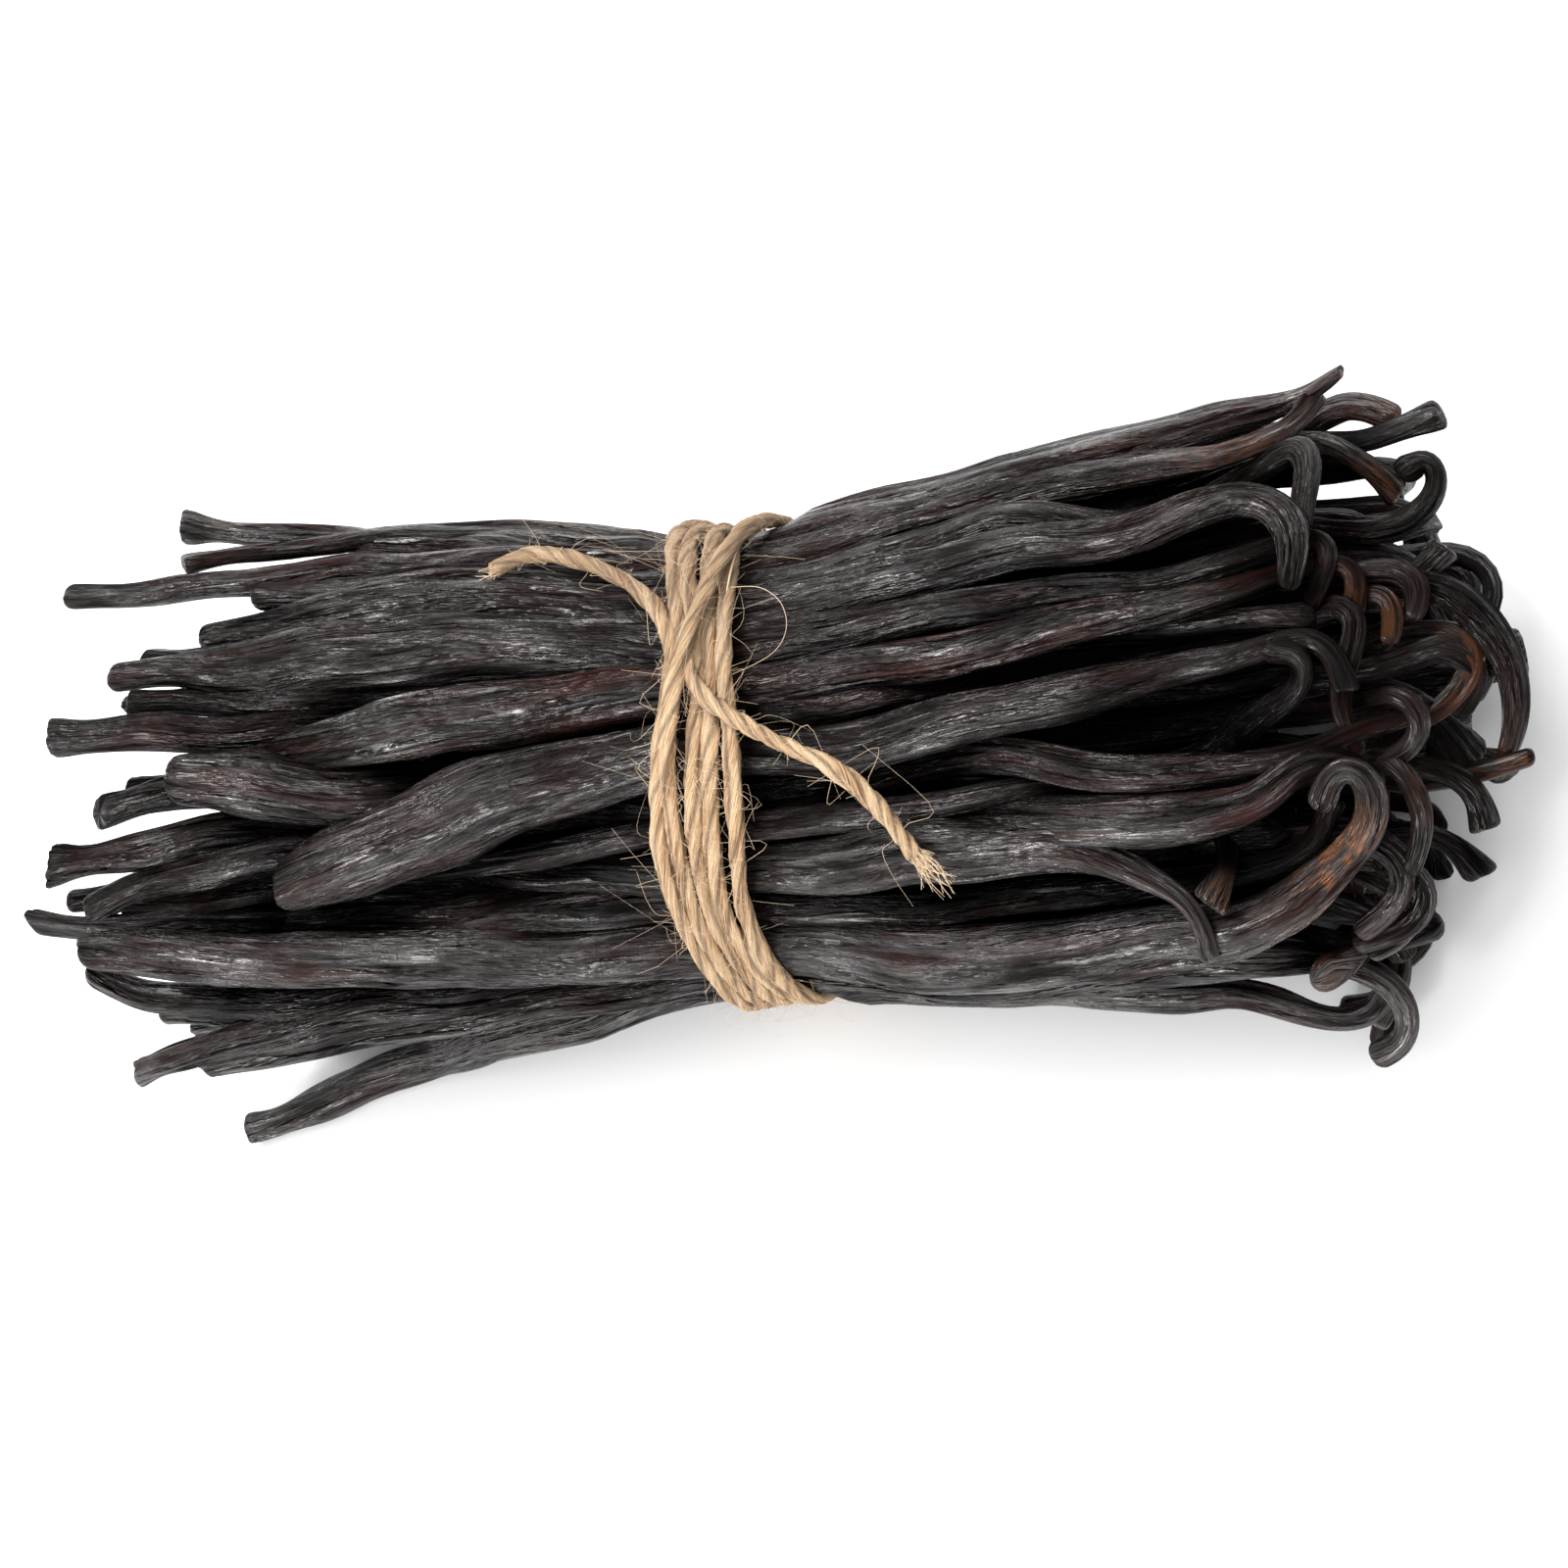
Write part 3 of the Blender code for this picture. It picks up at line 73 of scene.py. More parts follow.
# The outer pods: first those seen along their length, from the back edge round the top
# to the front edge, then those in the gaps and those that show only an end.  Each has its
# route as (x, across, depth under the bundle's surface), its half width as
# (x, half width), and its curled stalk as (x, across, up, half width).
LAID_PODS = {
    "back_edge": (
        ((-72, 35, 3), (-60, 32.5, 3), (-49, 30.3, 4), (-38, 29, 7), (-18, 25.5, 9), (2, 24, 9),
         (30, 29, 12), (62, 31, 13)),
        ((-72, 1.9), (-50, 1.7), (-30, 2.6), (40, 2.6), (62, 1.6)),
        ((65.8, 33, -2, 1.8), (68.6, 33.2, 0, 1.9), (71, 32.4, 1, 1.7), (73, 31, 2, 1.6))),
    "back_top": (
        ((-67, 29.7, -3), (-58, 31, 0), (-47, 31, 2.5), (-27, 28.6, 3), (-10, 25.4, 3),
         (4, 25.2, 3), (16, 26.6, 3), (29, 28.4, 3), (41, 30, 3), (52, 31.4, 3), (60, 33, 2)),
        ((-67, 1.7), (-50, 1.9), (-20, 2.6), (0, 2.8), (14, 3.1), (46, 3.1), (56, 2.6), (60, 2.2)),
        ((64, 33.6, 4.5, 1.9), (67, 34.8, 6, 1.3), (69.2, 35.8, 7, 0.8))),
    "back_blunt": (
        ((-82, 27.3, 0), (-74, 27, 3), (-64, 26.8, 3), (-47, 26.6, 3), (-31, 26.6, 2),
         (-20, 25.5, 2.5), (-10, 23.6, 3), (4, 22.6, 3), (18, 24.6, 2.6), (30, 26.4, 2.6),
         (42, 27.4, 2.6), (50, 28, 2.6), (56, 27, 2.8), (60, 28.5, 3)),
        ((-82, 1.6), (-70, 1.8), (-20, 2.2), (20, 2), (48, 2.1), (60, 1.5)),
        ((64, 31, 9, 1.3), (66, 33.5, 6, 1.3))),
    "back_wavy": (
        ((-57, 25, 4), (-46, 24.4, 3.2), (-30, 24, 3.2), (-11, 20.6, 3), (5, 19.6, 3),
         (14, 20.5, 3), (21, 21.8, 2.8), (27, 23.9, 2.3), (33, 24.7, 2.3), (39, 23.4, 2.8),
         (45, 21.6, 3.6), (55, 23, 6)),
        ((-57, 1.6), (-40, 1.9), (0, 2), (30, 1.8), (55, 1.5)),
        ((62, 26.6, 12, 1.5), (65, 28.5, 13, 1.5), (66.8, 26.4, 15, 1.6), (66.7, 23, 17, 1.7),
         (65.8, 20, 19, 1.8), (65.2, 17, 20.5, 1.4))),
    "back_broad": (
        ((-62, 20.2, 4), (-47, 21.4, 3), (-37, 21.6, 2.8), (-25, 20.6, 2.8), (-10, 17.6, 3),
         (2, 16.6, 3), (19, 18.6, 2.8), (35, 20.2, 2.6), (43, 19.8, 2.6), (49, 20.2, 2.5),
         (55, 22.4, 2.2), (59, 23.8, 2)),
        ((-62, 1.5), (-48, 2.6), (-15, 2.6), (20, 2.5), (48, 2.3), (59, 2)),
        ((60.4, 23.3, 19, 1.9), (63.8, 21.9, 20.5, 1.9), (65.2, 18.5, 22, 2), (65, 15.4, 23, 1.7),
         (64.6, 13.6, 23.3, 1.2))),
    "wide_dark": (
        ((-73, 17.1, 3.2), (-61, 16.7, 3), (-44, 16.6, 2.4), (-24, 15.4, 2.5), (-9, 14, 2.8),
         (2, 12.9, 3), (19, 13.7, 3), (36, 15.2, 3), (47, 15.2, 3.4), (58, 15.8, 3.8)),
        ((-73, 1.5), (-62, 2.2), (-50, 3.3), (-20, 3.2), (0, 2.3), (30, 2), (58, 1.5)),
        ((64, 17.5, 19, 1.4), (68, 18.2, 19, 1.2), (68.8, 16, 20, 1.2), (67.5, 13.6, 21, 1.3),
         (66.2, 11.6, 21, 1))),
    "thin_back": (
        ((-71, 14.1, 4), (-61, 12.9, 4.5), (-48, 11.3, 4), (-35, 11.4, 4.4), (-18, 11.6, 5),
         (0, 10.2, 5.6), (20, 11, 6), (45, 10.2, 5), (56.5, 9.5, 4.2)),
        ((-71, 1.5), (-50, 1.7), (0, 1.8), (45, 1.6), (57, 1.2)),
        ((61.3, 9.8, 24.5, 1.3), (65.8, 9.6, 24, 1.5))),
    "back_long": (
        ((-80, 10.6, 3), (-67, 9.9, 2.6), (-54, 9, 3.6), (-40, 7.6, 5.4), (-20, 7, 6),
         (0, 5.4, 4.6), (8, 5.4, 3.6), (16, 5.6, 3.6), (24, 6.2, 5), (36, 7.4, 7), (58, 9, 7.5)),
        ((-80, 1.9), (-68, 2.2), (-40, 2.1), (10, 1.7), (58, 1.4)),
        ((64, 9.2, 19, 1.4), (69.7, 10.6, 21, 1.4), (71.1, 8.9, 22, 1.4), (70.2, 6, 23, 1.5),
         (68.8, 2.6, 23, 1.5), (68.6, -0.9, 23, 1.3), (69.5, -4.5, 22, 1))),
    "rising": (
        ((-58, 5.6, 4.5), (-48, 6.8, 3), (-39, 7.4, 2.3), (-31, 8.2, 2.1), (-22, 8.6, 2.1),
         (-9, 8.9, 2.6), (2, 8.4, 3), (11, 8.6, 3), (27, 9.8, 2.8), (43, 11.4, 2.6),
         (51, 12.2, 2.6), (59, 13, 3)),
        ((-58, 1.6), (-44, 2.6), (-30, 3.1), (-15, 2.8), (0, 2.3), (35, 2.2), (50, 2), (59, 1.5)),
        ((64.5, 14.6, 20, 1.4), (69.7, 15.3, 19, 1.2), (71.6, 14, 20, 1.2), (71.5, 12, 20, 1.3),
         (70.8, 9.8, 20, 1.1))),
    "stub_left": (
        ((-74, 1.4, 2.8), (-63, 3.6, 4), (-50, 4.5, 6.4), (-30, 4, 8), (0, 1.5, 8), (50, 3.5, 9)),
        ((-74, 1.8), (-64, 2.2), (0, 2.3), (50, 1.5)),
        ((60, 4, 17, 1.5), (68, 3, 18, 1.4), (74.5, 4.2, 18, 1.3), (79.4, 5.4, 18, 1.3),
         (82, 3.8, 17, 1.3), (82, 1, 16.5, 1.3), (80, -1.4, 17, 1.2))),
    "round_left": (
        ((-63, 4.8, 2.2), (-56, 3.4, 2.2), (-50, 2, 2.4), (-44, 0.6, 3.4), (-34, -0.8, 6),
         (-20, -2.5, 6.6), (0, -2.8, 6.6), (20, -2, 7.4), (55, 0, 8.5)),
        ((-63, 2.3), (-57, 3), (-44, 2.9), (-20, 2.5), (30, 2.2), (55, 1.5)),
        ((65, -0.5, 18, 1.4), (71.3, 0.3, 20, 1.2), (74.3, 0.8, 22, 1.2), (76.6, -0.8, 23, 1.4),
         (76.7, -3.1, 22, 1.4), (74.7, -5.2, 21, 1.1), (72, -6, 20, 0.9))),
    "biggest": (
        ((-52, -8.6, 2.2), (-45, -6.9, 1.9), (-36, -3.8, 1.9), (-28, -1.2, 1.9), (-20, 0.1, 2.1),
         (-9, 1.6, 2.5), (0, 1.4, 2.8), (9, 0.9, 2.8), (15, 0.9, 2.6), (23, 1.6, 2.5),
         (31, 3, 2.4), (43, 4, 2.4), (51, 5, 2.6), (58, 6.4, 3)),
        ((-52, 2.6), (-45, 3.6), (-28, 4), (-9, 3), (8, 2.4), (30, 2.6), (45, 2.3), (58, 1.4)),
        ((63, 7.6, 24.5, 1.2), (67, 8, 24.5, 1.2), (69, 5.4, 24.5, 1.2), (69.5, 2, 24.5, 1.2))),
    "cup_tip": (
        ((-81, -4.3, 2.8), (-68, -3, 2.8), (-61, -1.9, 3.2), (-50, -2.4, 5.4), (-30, -5.6, 7),
         (-5, -4.5, 7), (14, -2.4, 5.6), (27, -1.5, 4), (35, -2.4, 2.9), (41, -4, 2.4),
         (46, -4.8, 2.3), (54, -5.4, 2.5), (61, -4.8, 3)),
        ((-81, 1.9), (-70, 2.2), (-20, 2), (30, 1.9), (50, 2), (61, 1.4)),
        ((66, -4, 24, 1.4), (70, -2.6, 23, 1.2), (73.5, -2.6, 21, 1.2), (76.5, -1.2, 18, 1.2))),
    "drooping": (
        ((-77, -9.5, 3), (-71, -7.3, 2.8), (-62, -5.6, 2.8), (-53, -5, 3.6), (-42, -5.6, 5.4),
         (-28, -9.5, 6), (-12, -11.6, 4), (2, -11.8, 3), (13, -11.6, 2.5), (25, -11.5, 2.3),
         (37, -11.9, 2.2), (42, -13.4, 2.2)),
        ((-77, 1.6), (-65, 2), (-15, 2), (5, 2.6), (20, 3.1), (34, 2.5), (42, 1.9)),
        ((46.8, -15.6, 24, 1.4), (50.1, -18.3, 23, 1.1), (51.4, -21.4, 22, 1), (51.4, -24.8, 21, 1))),
    "short_under": (
        ((-73, -9.4, 4), (-62, -8.7, 4), (-53, -8.2, 5), (-35, -10.4, 6.4), (0, -9.4, 7.4),
         (45, -12, 7)),
        ((-73, 1.7), (-40, 1.9), (45, 1.6)),
        ((56, -13, 17, 1.6), (63.4, -14.1, 18, 1.6), (68.5, -14, 19, 1.6), (72.3, -15.8, 20, 1.6),
         (73.2, -19, 19, 1.6), (71.2, -22.2, 18, 1.5), (68, -23.9, 17, 1.3))),
    "angled_tip": (
        ((-84, -10.2, 3), (-79, -11.4, 3), (-65, -12, 5), (-35, -14.4, 6.4), (0, -15, 7),
         (50, -16.5, 8)),
        ((-84, 1.8), (-76, 2), (-30, 2.1), (50, 1.5)),
        ((62, -16.4, 14.5, 1.6), (69.2, -16.3, 16, 1.6), (73.8, -17.3, 17, 1.6),
         (75.6, -19.8, 17, 1.6), (74.4, -22.6, 16, 1.5), (70.9, -24.4, 15, 1.4), (67, -25, 15, 1.2))),
    "front_long": (
        ((-79, -13.7, 3), (-73, -15, 2.5), (-64, -15.9, 2.3), (-52, -17.3, 2.3), (-40, -18, 2.3),
         (-28, -19.3, 2.5), (-16, -19.6, 2.8), (-2, -20.4, 3), (13, -22, 2.5), (25, -23.6, 2.2),
         (36, -23.5, 2.2), (43, -23.3, 2.2), (54.5, -22.6, 2.2)),
        ((-79, 2.1), (-70, 2.7), (-50, 2.8), (-20, 3), (-2, 3), (14, 3.3), (42, 3.3), (54.5, 2.6)),
        ((61.4, -20, 21, 2.4), (66.8, -16.8, 22.5, 2), (70.6, -13.4, 24, 1.9),
         (71.8, -10.2, 25, 1.7), (71.2, -7, 26, 1.5), (69, -5.8, 26.5, 1.4), (67, -7, 26, 1.4),
         (65.9, -9.4, 25, 1.5))),
    "front_under": (
        ((-80, -16.6, 4.6), (-77, -19.1, 3.6), (-71, -20.6, 3.6), (-62, -21.8, 4.2),
         (-45, -22, 6.4), (0, -19.5, 9), (50, -20, 10)),
        ((-80, 1.8), (-50, 2), (50, 1.5)),
        ((60, -24, 10, 1.6), (65.1, -26.4, 10, 1.4), (68.8, -26.1, 10, 1.3),
         (72.1, -25.3, 10, 1.3), (73.9, -24.5, 10, 1.6))),
    "front_thin": (
        ((-81, -29.8, -3), (-75, -27.6, 0), (-64, -25.7, 3), (-55, -24.5, 3), (-46, -23.9, 3.2),
         (-34, -23.4, 4.4), (-15, -23, 7), (10, -20, 9), (55, -19, 12)),
        ((-81, 1.5), (-70, 2), (-30, 2.1), (55, 1.5)),
        ((62, -20, 9, 1.4), (68, -23, 10, 1.4), (70, -27, 9, 1.4))),
    "front_low": (
        ((-71, -29.2, -2), (-65, -28.4, 1), (-57, -27.4, 3), (-43, -26.3, 3), (-30, -25, 3.4),
         (-12, -23.6, 4.6), (4, -24, 5), (20, -26.6, 4.6), (40, -26.6, 3.4), (50, -26, 2.8),
         (57, -26.2, 2.6)),
        ((-71, 1.4), (-60, 1.8), (0, 2), (25, 2.3), (48, 2.4), (57, 2.1)),
        ((60.8, -26.4, 10, 1.9), (65.8, -27.8, 9, 1.8), (69, -30.2, 7, 1.6), (70.2, -33.2, 5, 1.4),
         (69.6, -35.9, 4, 1.3), (67.8, -37.6, 3, 1.4), (66, -37.6, 3, 1.6))),
    "lowest": (
        ((-74, -38, 9), (-68, -36, 9), (-58, -33.3, 9), (-49, -31, 8), (-38, -29, 7),
         (-26, -27, 5.6), (-13, -25, 5), (0, -24.4, 5.6), (20, -27.2, 6), (40, -28.6, 5),
         (52, -30, 5)),
        ((-74, 1.7), (-64, 2.5), (-45, 2.7), (-15, 2.5), (20, 2.3), (45, 2.3), (52, 1.9)),
        ((58.6, -33.5, 2, 1.6), (62.9, -34.3, 1, 1.6), (66, -33.2, 2, 1.5), (67.4, -30.5, 4, 1.4))),
    "gap_strand": (
        ((-62, -6, 7), (-48, -6.4, 6), (-35, -8.2, 4.4), (-17, -7.4, 3.2), (-6, -6.6, 3),
         (3, -6.6, 3), (14, -6.8, 2.8), (22, -6.4, 2.8), (30, -5.8, 3.2), (38, -5.6, 4.6),
         (58, -8, 8)),
        ((-62, 1.3), (-30, 1.5), (10, 1.7), (58, 1.3)),
        ((66, -6.5, 18, 1.2), (72.5, -5, 20, 1), (75, -8.3, 21, 1.2), (76.1, -11.4, 21, 1.4),
         (75.3, -14.2, 20, 1.3), (73.4, -17.4, 19, 1.1))),
    "red_broad": (
        ((-66, -12.5, 6), (-45, -13, 5), (-35, -13, 4.2), (-15, -11.8, 5), (0, -9.2, 4.6),
         (15, -8.6, 5.4), (30, -9, 4), (37, -9.5, 2.9), (45, -10.2, 2.4), (53, -10.2, 2.3),
         (60, -8.8, 2.2)),
        ((-66, 1.4), (-20, 1.7), (20, 2), (42, 2.7), (53, 2.7), (60, 1.9)),
        ((64.8, -5.2, 25, 1.7), (68.4, -5.9, 24, 1.4), (71, -8.2, 22.5, 1.3))),
    "gap_thin": (
        ((-66, -14, 6.4), (-45, -14.4, 4.8), (-31, -14.5, 3.6), (-12, -15.2, 3.4), (0, -16, 3.6),
         (20, -17.6, 4.4), (50, -17, 6)),
        ((-66, 1.4), (-20, 1.7), (20, 1.9), (50, 1.5)),
        ((58, -16, 19, 1.3), (64, -14, 20, 1.3), (66, -10, 20, 1.3))),
    "narrow_curl": (
        ((-56, -3, 9), (-20, -1, 9), (0, 0.5, 9), (36, -2, 8.4), (46, -5.5, 9), (52, -5, 9)),
        ((-56, 1.5), (0, 2), (52, 1.9)),
        ((56, -2.4, 20, 1.9), (59.8, 0.1, 22, 1.7), (64.1, 2.2, 24, 1.4), (66.2, 4.2, 25, 1.2),
         (65.2, 6.4, 26, 1.3), (62.8, 6.6, 26, 1.5))),
    "dark_hook": (
        ((-56, 20, 9), (0, 15, 9), (45, 18, 8), (60, 20, 8)),
        ((-56, 1.6), (0, 2.4), (60, 2.3)),
        ((66.7, 19.5, 12, 1.9), (70.9, 18.6, 12, 2.1), (75.3, 18.9, 12, 2.1),
         (78.4, 20.4, 12, 1.9), (80, 22.9, 12, 1.7), (79.7, 25.3, 12, 1.5), (77.9, 26.4, 12, 1.6),
         (76.2, 25, 12, 1.8))),
    "spotted": (
        ((-56, 24, 8), (0, 19, 8), (45, 24, 8), (60, 27, 8)),
        ((-56, 1.5), (0, 2.2), (60, 1.6)),
        ((66.4, 29.8, 8, 1.5), (69.5, 27.1, 9, 1.4), (72, 24.9, 9, 1.5), (73.6, 22.4, 8, 1.7))),
    "flat_tip": (
        ((-54, 22, 13), (0, 18, 12), (45, 26, 14), (60, 30, 12)),
        ((-54, 1.5), (0, 2.2), (60, 1.5)),
        ((70.5, 28, 2, 1.2), (73.5, 29.3, 3, 1.4), (76.4, 29.9, 4, 1.7), (78.4, 30.4, 4, 1.8))),
    "flared_stub": (
        ((-56, 12, 9), (0, 7.5, 9), (45, 12, 9), (60, 12, 8)),
        ((-56, 1.5), (0, 2.4), (60, 1.6)),
        ((72, 10.9, 14, 1.3), (75.1, 12.3, 15, 1.2), (77.6, 13.9, 16, 1.2), (79.4, 15.4, 16, 1.5))),
    "great_arc": (
        ((-58, 8, 11), (0, 3.5, 12), (45, 9, 12), (62, 12, 11)),
        ((-58, 1.5), (0, 2.4), (62, 2)),
        ((72, 12.4, 16, 1.9), (76.4, 12.1, 17, 1.9), (80.2, 10.8, 17, 1.9), (83.2, 8.3, 17, 2),
         (85.4, 4.7, 16, 1.9), (86, 1.1, 15, 1.7), (85.5, -2.3, 14, 1.5), (84.6, -5.6, 13, 1.2),
         (82.6, -8.6, 11, 0.9))),
    "brown_pointer": (
        ((-56, 3, 13), (0, -1, 12.4), (45, -3, 12), (62, -4, 11)),
        ((-56, 1.5), (0, 2.4), (62, 1.6)),
        ((72.7, -8.8, 14, 1.3), (77.8, -8.2, 14, 1.2), (82.2, -7.8, 14, 1.2), (86.2, -7.2, 14, 1))),
    "short_stub": (
        ((-56, -6, 12), (0, -5.6, 12), (45, -6, 11), (62, -6, 11)),
        ((-56, 1.5), (0, 2.4), (62, 1.6)),
        ((72, -6.4, 15, 1.3), (76.3, -7.2, 16, 1.3), (79.6, -8.8, 16, 1.3), (81.1, -11, 15, 1.3),
         (80.9, -13.8, 14, 1.5))),
    "brown_curl": deep_pod(
        9, 9, (68, 11, 18, 1.3), (73, 12, 19, 1.1), (75, 10.8, 20, 1.3), (74.8, 8.6, 20, 1.3),
        (73.8, 6.8, 20, 1)),
    "brown_knob": deep_pod(
        14, 10, (70, 13.6, 17, 1.3), (75, 13.8, 18, 1.4), (77.6, 12.6, 19, 1.7), (78, 10.6, 19, 1.7),
        (76.8, 9.2, 19, 1.2)),
    "dark_curl": deep_pod(
        3, 12, (70, 3, 17, 1.3), (75.7, 4.5, 18, 1.3), (78.2, 5, 18, 1.5), (80.6, 4.4, 18, 1.4),
        (81.6, 2.6, 17, 1.1)),
    "edge_curl": deep_pod(
        5, 14, (74, 7, 15, 1.3), (81, 6.6, 17, 1.3), (82.2, 4.2, 17, 1.4), (81.2, 1.4, 17, 1.5),
        (79.4, -0.6, 17.5, 1.3), (77.2, -2.2, 18, 1)),
    "ring_stub": deep_pod(
        -13, 7, (53, -11, 18, 1.3), (55.4, -13.6, 20, 1.2), (54.4, -16.4, 21.4, 1.3),
        (53, -19, 23, 1.4)),
    "low_curl": deep_pod(
        -15, 14, (66, -17, 12, 1.5), (71, -19.5, 14, 1.5), (73, -22, 14, 1.5), (71.5, -24.6, 13, 1.4),
        (68, -26, 13, 1.1)),
    "tip_pointed": tip_pod(
        (-72.9, 19.8, 11.2), (-66, 18.5, 10), (-50, 16, 9), (0, 13, 10), (50, 13, 12)),
    "tip_under": tip_pod(
        (-74.4, 14.6, 10.5), (-66, 13.6, 10), (-50, 12.6, 9), (0, 10, 10), (50, 9, 13)),
    "tip_round": tip_pod(
        (-82, -7.8, 8), (-74, -8, 8), (-60, -9.6, 8), (0, -11, 9.5), (50, -10, 12)),
    "tip_low": tip_pod(
        (-80, -23.2, 17), (-72, -23, 13), (-60, -22.6, 10.5), (0, -21, 11), (50, -20, 12)),
    "tip_lower": tip_pod(
        (-76.6, -25.6, 16), (-69, -25.6, 12), (-56, -24.6, 9), (0, -22.6, 10), (50, -23, 12)),
}

# How each outer pod's blossom end and stalk end are closed, and its skin's tint:
# red-brown, painted grey sheen, orange wear, and how far from the stalk's end the wear is.
POD_LOOKS = {
    "back_edge": ("flared", "round", 0.6, 0.2, 0.25, 0),
    "back_top": ("blunt", "blunt", 0.75, 0.2, 0.25, 0),
    "back_blunt": ("round", "round", 0.6, 0.25, 0.3, 16),
    "back_wavy": ("round", "round", 0.35, 0.4, 0.0, 0),
    "back_broad": ("round", "round", 0.3, 0.5, 0.0, 0),
    "wide_dark": ("round", "round", 0.35, 0.45, 0.45, 2),
    "thin_back": ("blunt", "round", 0.5, 0.3, 0.0, 0),
    "back_long": ("blunt", "round", 0.6, 0.3, 0.2, 0),
    "rising": ("blunt", "round", 0.95, 0.2, 0.4, 2),
    "stub_left": ("slant", "round", 0.3, 0.3, 0.2, 0),
    "round_left": ("round", "blunt", 0.5, 0.3, 0.0, 0),
    "biggest": ("cut", "blunt", 0.4, 0.35, 0.0, 0),
    "cup_tip": ("cup", "blunt", 0.7, 0.2, 0.0, 0),
    "drooping": ("round", "round", 0.3, 0.5, 0.0, 0),
    "short_under": ("blunt", "round", 0.4, 0.2, 0.2, 0),
    "angled_tip": ("slant", "round", 0.4, 0.25, 0.0, 0),
    "front_long": ("round", "round", 0.5, 0.75, 1.2, 20),
    "front_under": ("round", "round", 0.3, 0.3, 0.0, 0),
    "front_thin": ("slant", "blunt", 0.3, 0.4, 0.2, 0),
    "front_low": ("slant", "round", 0.2, 0.6, 0.0, 0),
    "lowest": ("blunt", "blunt", 0.35, 0.5, 0.0, 0),
    "gap_strand": ("blunt", "round", 0.4, 0.25, 0.2, 10),
    "red_broad": ("blunt", "round", 0.85, 0.3, 0.0, 0),
    "gap_thin": ("blunt", "blunt", 0.4, 0.2, 0.2, 0),
    "narrow_curl": ("blunt", "round", 0.3, 0.4, 0.0, 0),
    "dark_hook": ("blunt", "round", 0.4, 0.1, 0.0, 0),
    "spotted": ("blunt", "blunt", 0.4, 0.3, 0.5, 2),
    "flat_tip": ("blunt", "blunt", 0.1, 0.9, 0.0, 0),
    "flared_stub": ("blunt", "blunt", 0.2, 0.2, 0.0, 0),
    "great_arc": ("blunt", "round", 0.45, 0.2, 0.7, 0),
    "brown_pointer": ("blunt", "round", 0.9, 0.1, 0.6, 2),
    "short_stub": ("blunt", "blunt", 0.2, 0.2, 0.0, 0),
    "brown_curl": ("blunt", "round", 0.5, 0.2, 0.5, 2),
    "brown_knob": ("blunt", "round", 0.7, 0.2, 0.4, 2),
    "dark_curl": ("blunt", "round", 0.2, 0.3, 0.0, 0),
    "edge_curl": ("blunt", "round", 0.4, 0.2, 0.5, 8),
    "ring_stub": ("blunt", "flared", 0.4, 0.4, 0.3, 0),
    "low_curl": ("blunt", "round", 0.5, 0.3, 0.0, 0),
    "tip_pointed": ("slant", "blunt", 0.5, 0.3, 0.0, 0),
    "tip_under": ("round", "blunt", 0.3, 0.3, 0.0, 0),
    "tip_round": ("round", "blunt", 0.3, 0.4, 0.0, 0),
    "tip_low": ("round", "blunt", 0.3, 0.3, 0.0, 0),
    "tip_lower": ("blunt", "blunt", 0.3, 0.3, 0.0, 0),
}

# The pods inside and below: each ring as (inset, count, first angle, last angle).
RINGS = ((2.7, 15, 188.0, 352.0), (7.9, 10, 180.0, 360.0), (13.2, 7, 160.0, 380.0),
         (18.4, 4, 0.0, 360.0), (8.6, 11, 10.0, 170.0))
SEED = 41
OUTER_INSET = 9.0
RING_JITTER = 0.2
RING_LEAN = 9.0
LEAN_OVER = 80.0
FILLER_HALF = (2.1, 3.0)
FILLER_TAPER = (0.6, 1.0, 1.0, 0.62)
TAPER_LENGTH = 22.0
TAPER_START = 20.0
OUTER_LEFT = (-74, -60)
INNER_LEFT = (-68, -56)
FILLER_RIGHT = (53, 62)
FRONT_SHORTER = 9.0
INNER_LONGER = 0.75
CURL_TURN = (50, 190)
CURL_RADIUS = (3.5, 6.5)
CURL_LEAD = (3, 9)
CURL_HALF = (1.2, 1.9)
CURL_NECK = 0.22
CURL_SIDES = (170, 200, 240, 280)
CURL_SPREAD = 40.0
CURL_END = 3.0
CURL_KNOTS = 7

# How the pods settle against each other.
STATION_STEP = 4.0
STATIONS = np.arange(-84.0, 78.1, STATION_STEP)
SETTLING_PASSES = 240
CLOSENESS = 0.84
EDGE_SHARE = 0.85
REST_SHARE = 0.92
FLOOR_PRESS = 0.8
LARGEST_MOVE = 0.8
SHALLOW = 5.5
SIDE_REACH = 28
LOOSENESS = (0.03, 0.3)
PULL_HOME = 0.12
EASING = 0.25
# the room left under the waist for the twine: stations and heights
WAIST_X = (-24, -10, 6, 20)
WAIST_ROOM = (0, 3.1, 3.1, 0)
# how a route is smoothed and read again
FINE_STEP = 0.7
SMOOTHING_PASSES = 16
END_CROWDING = 0.09

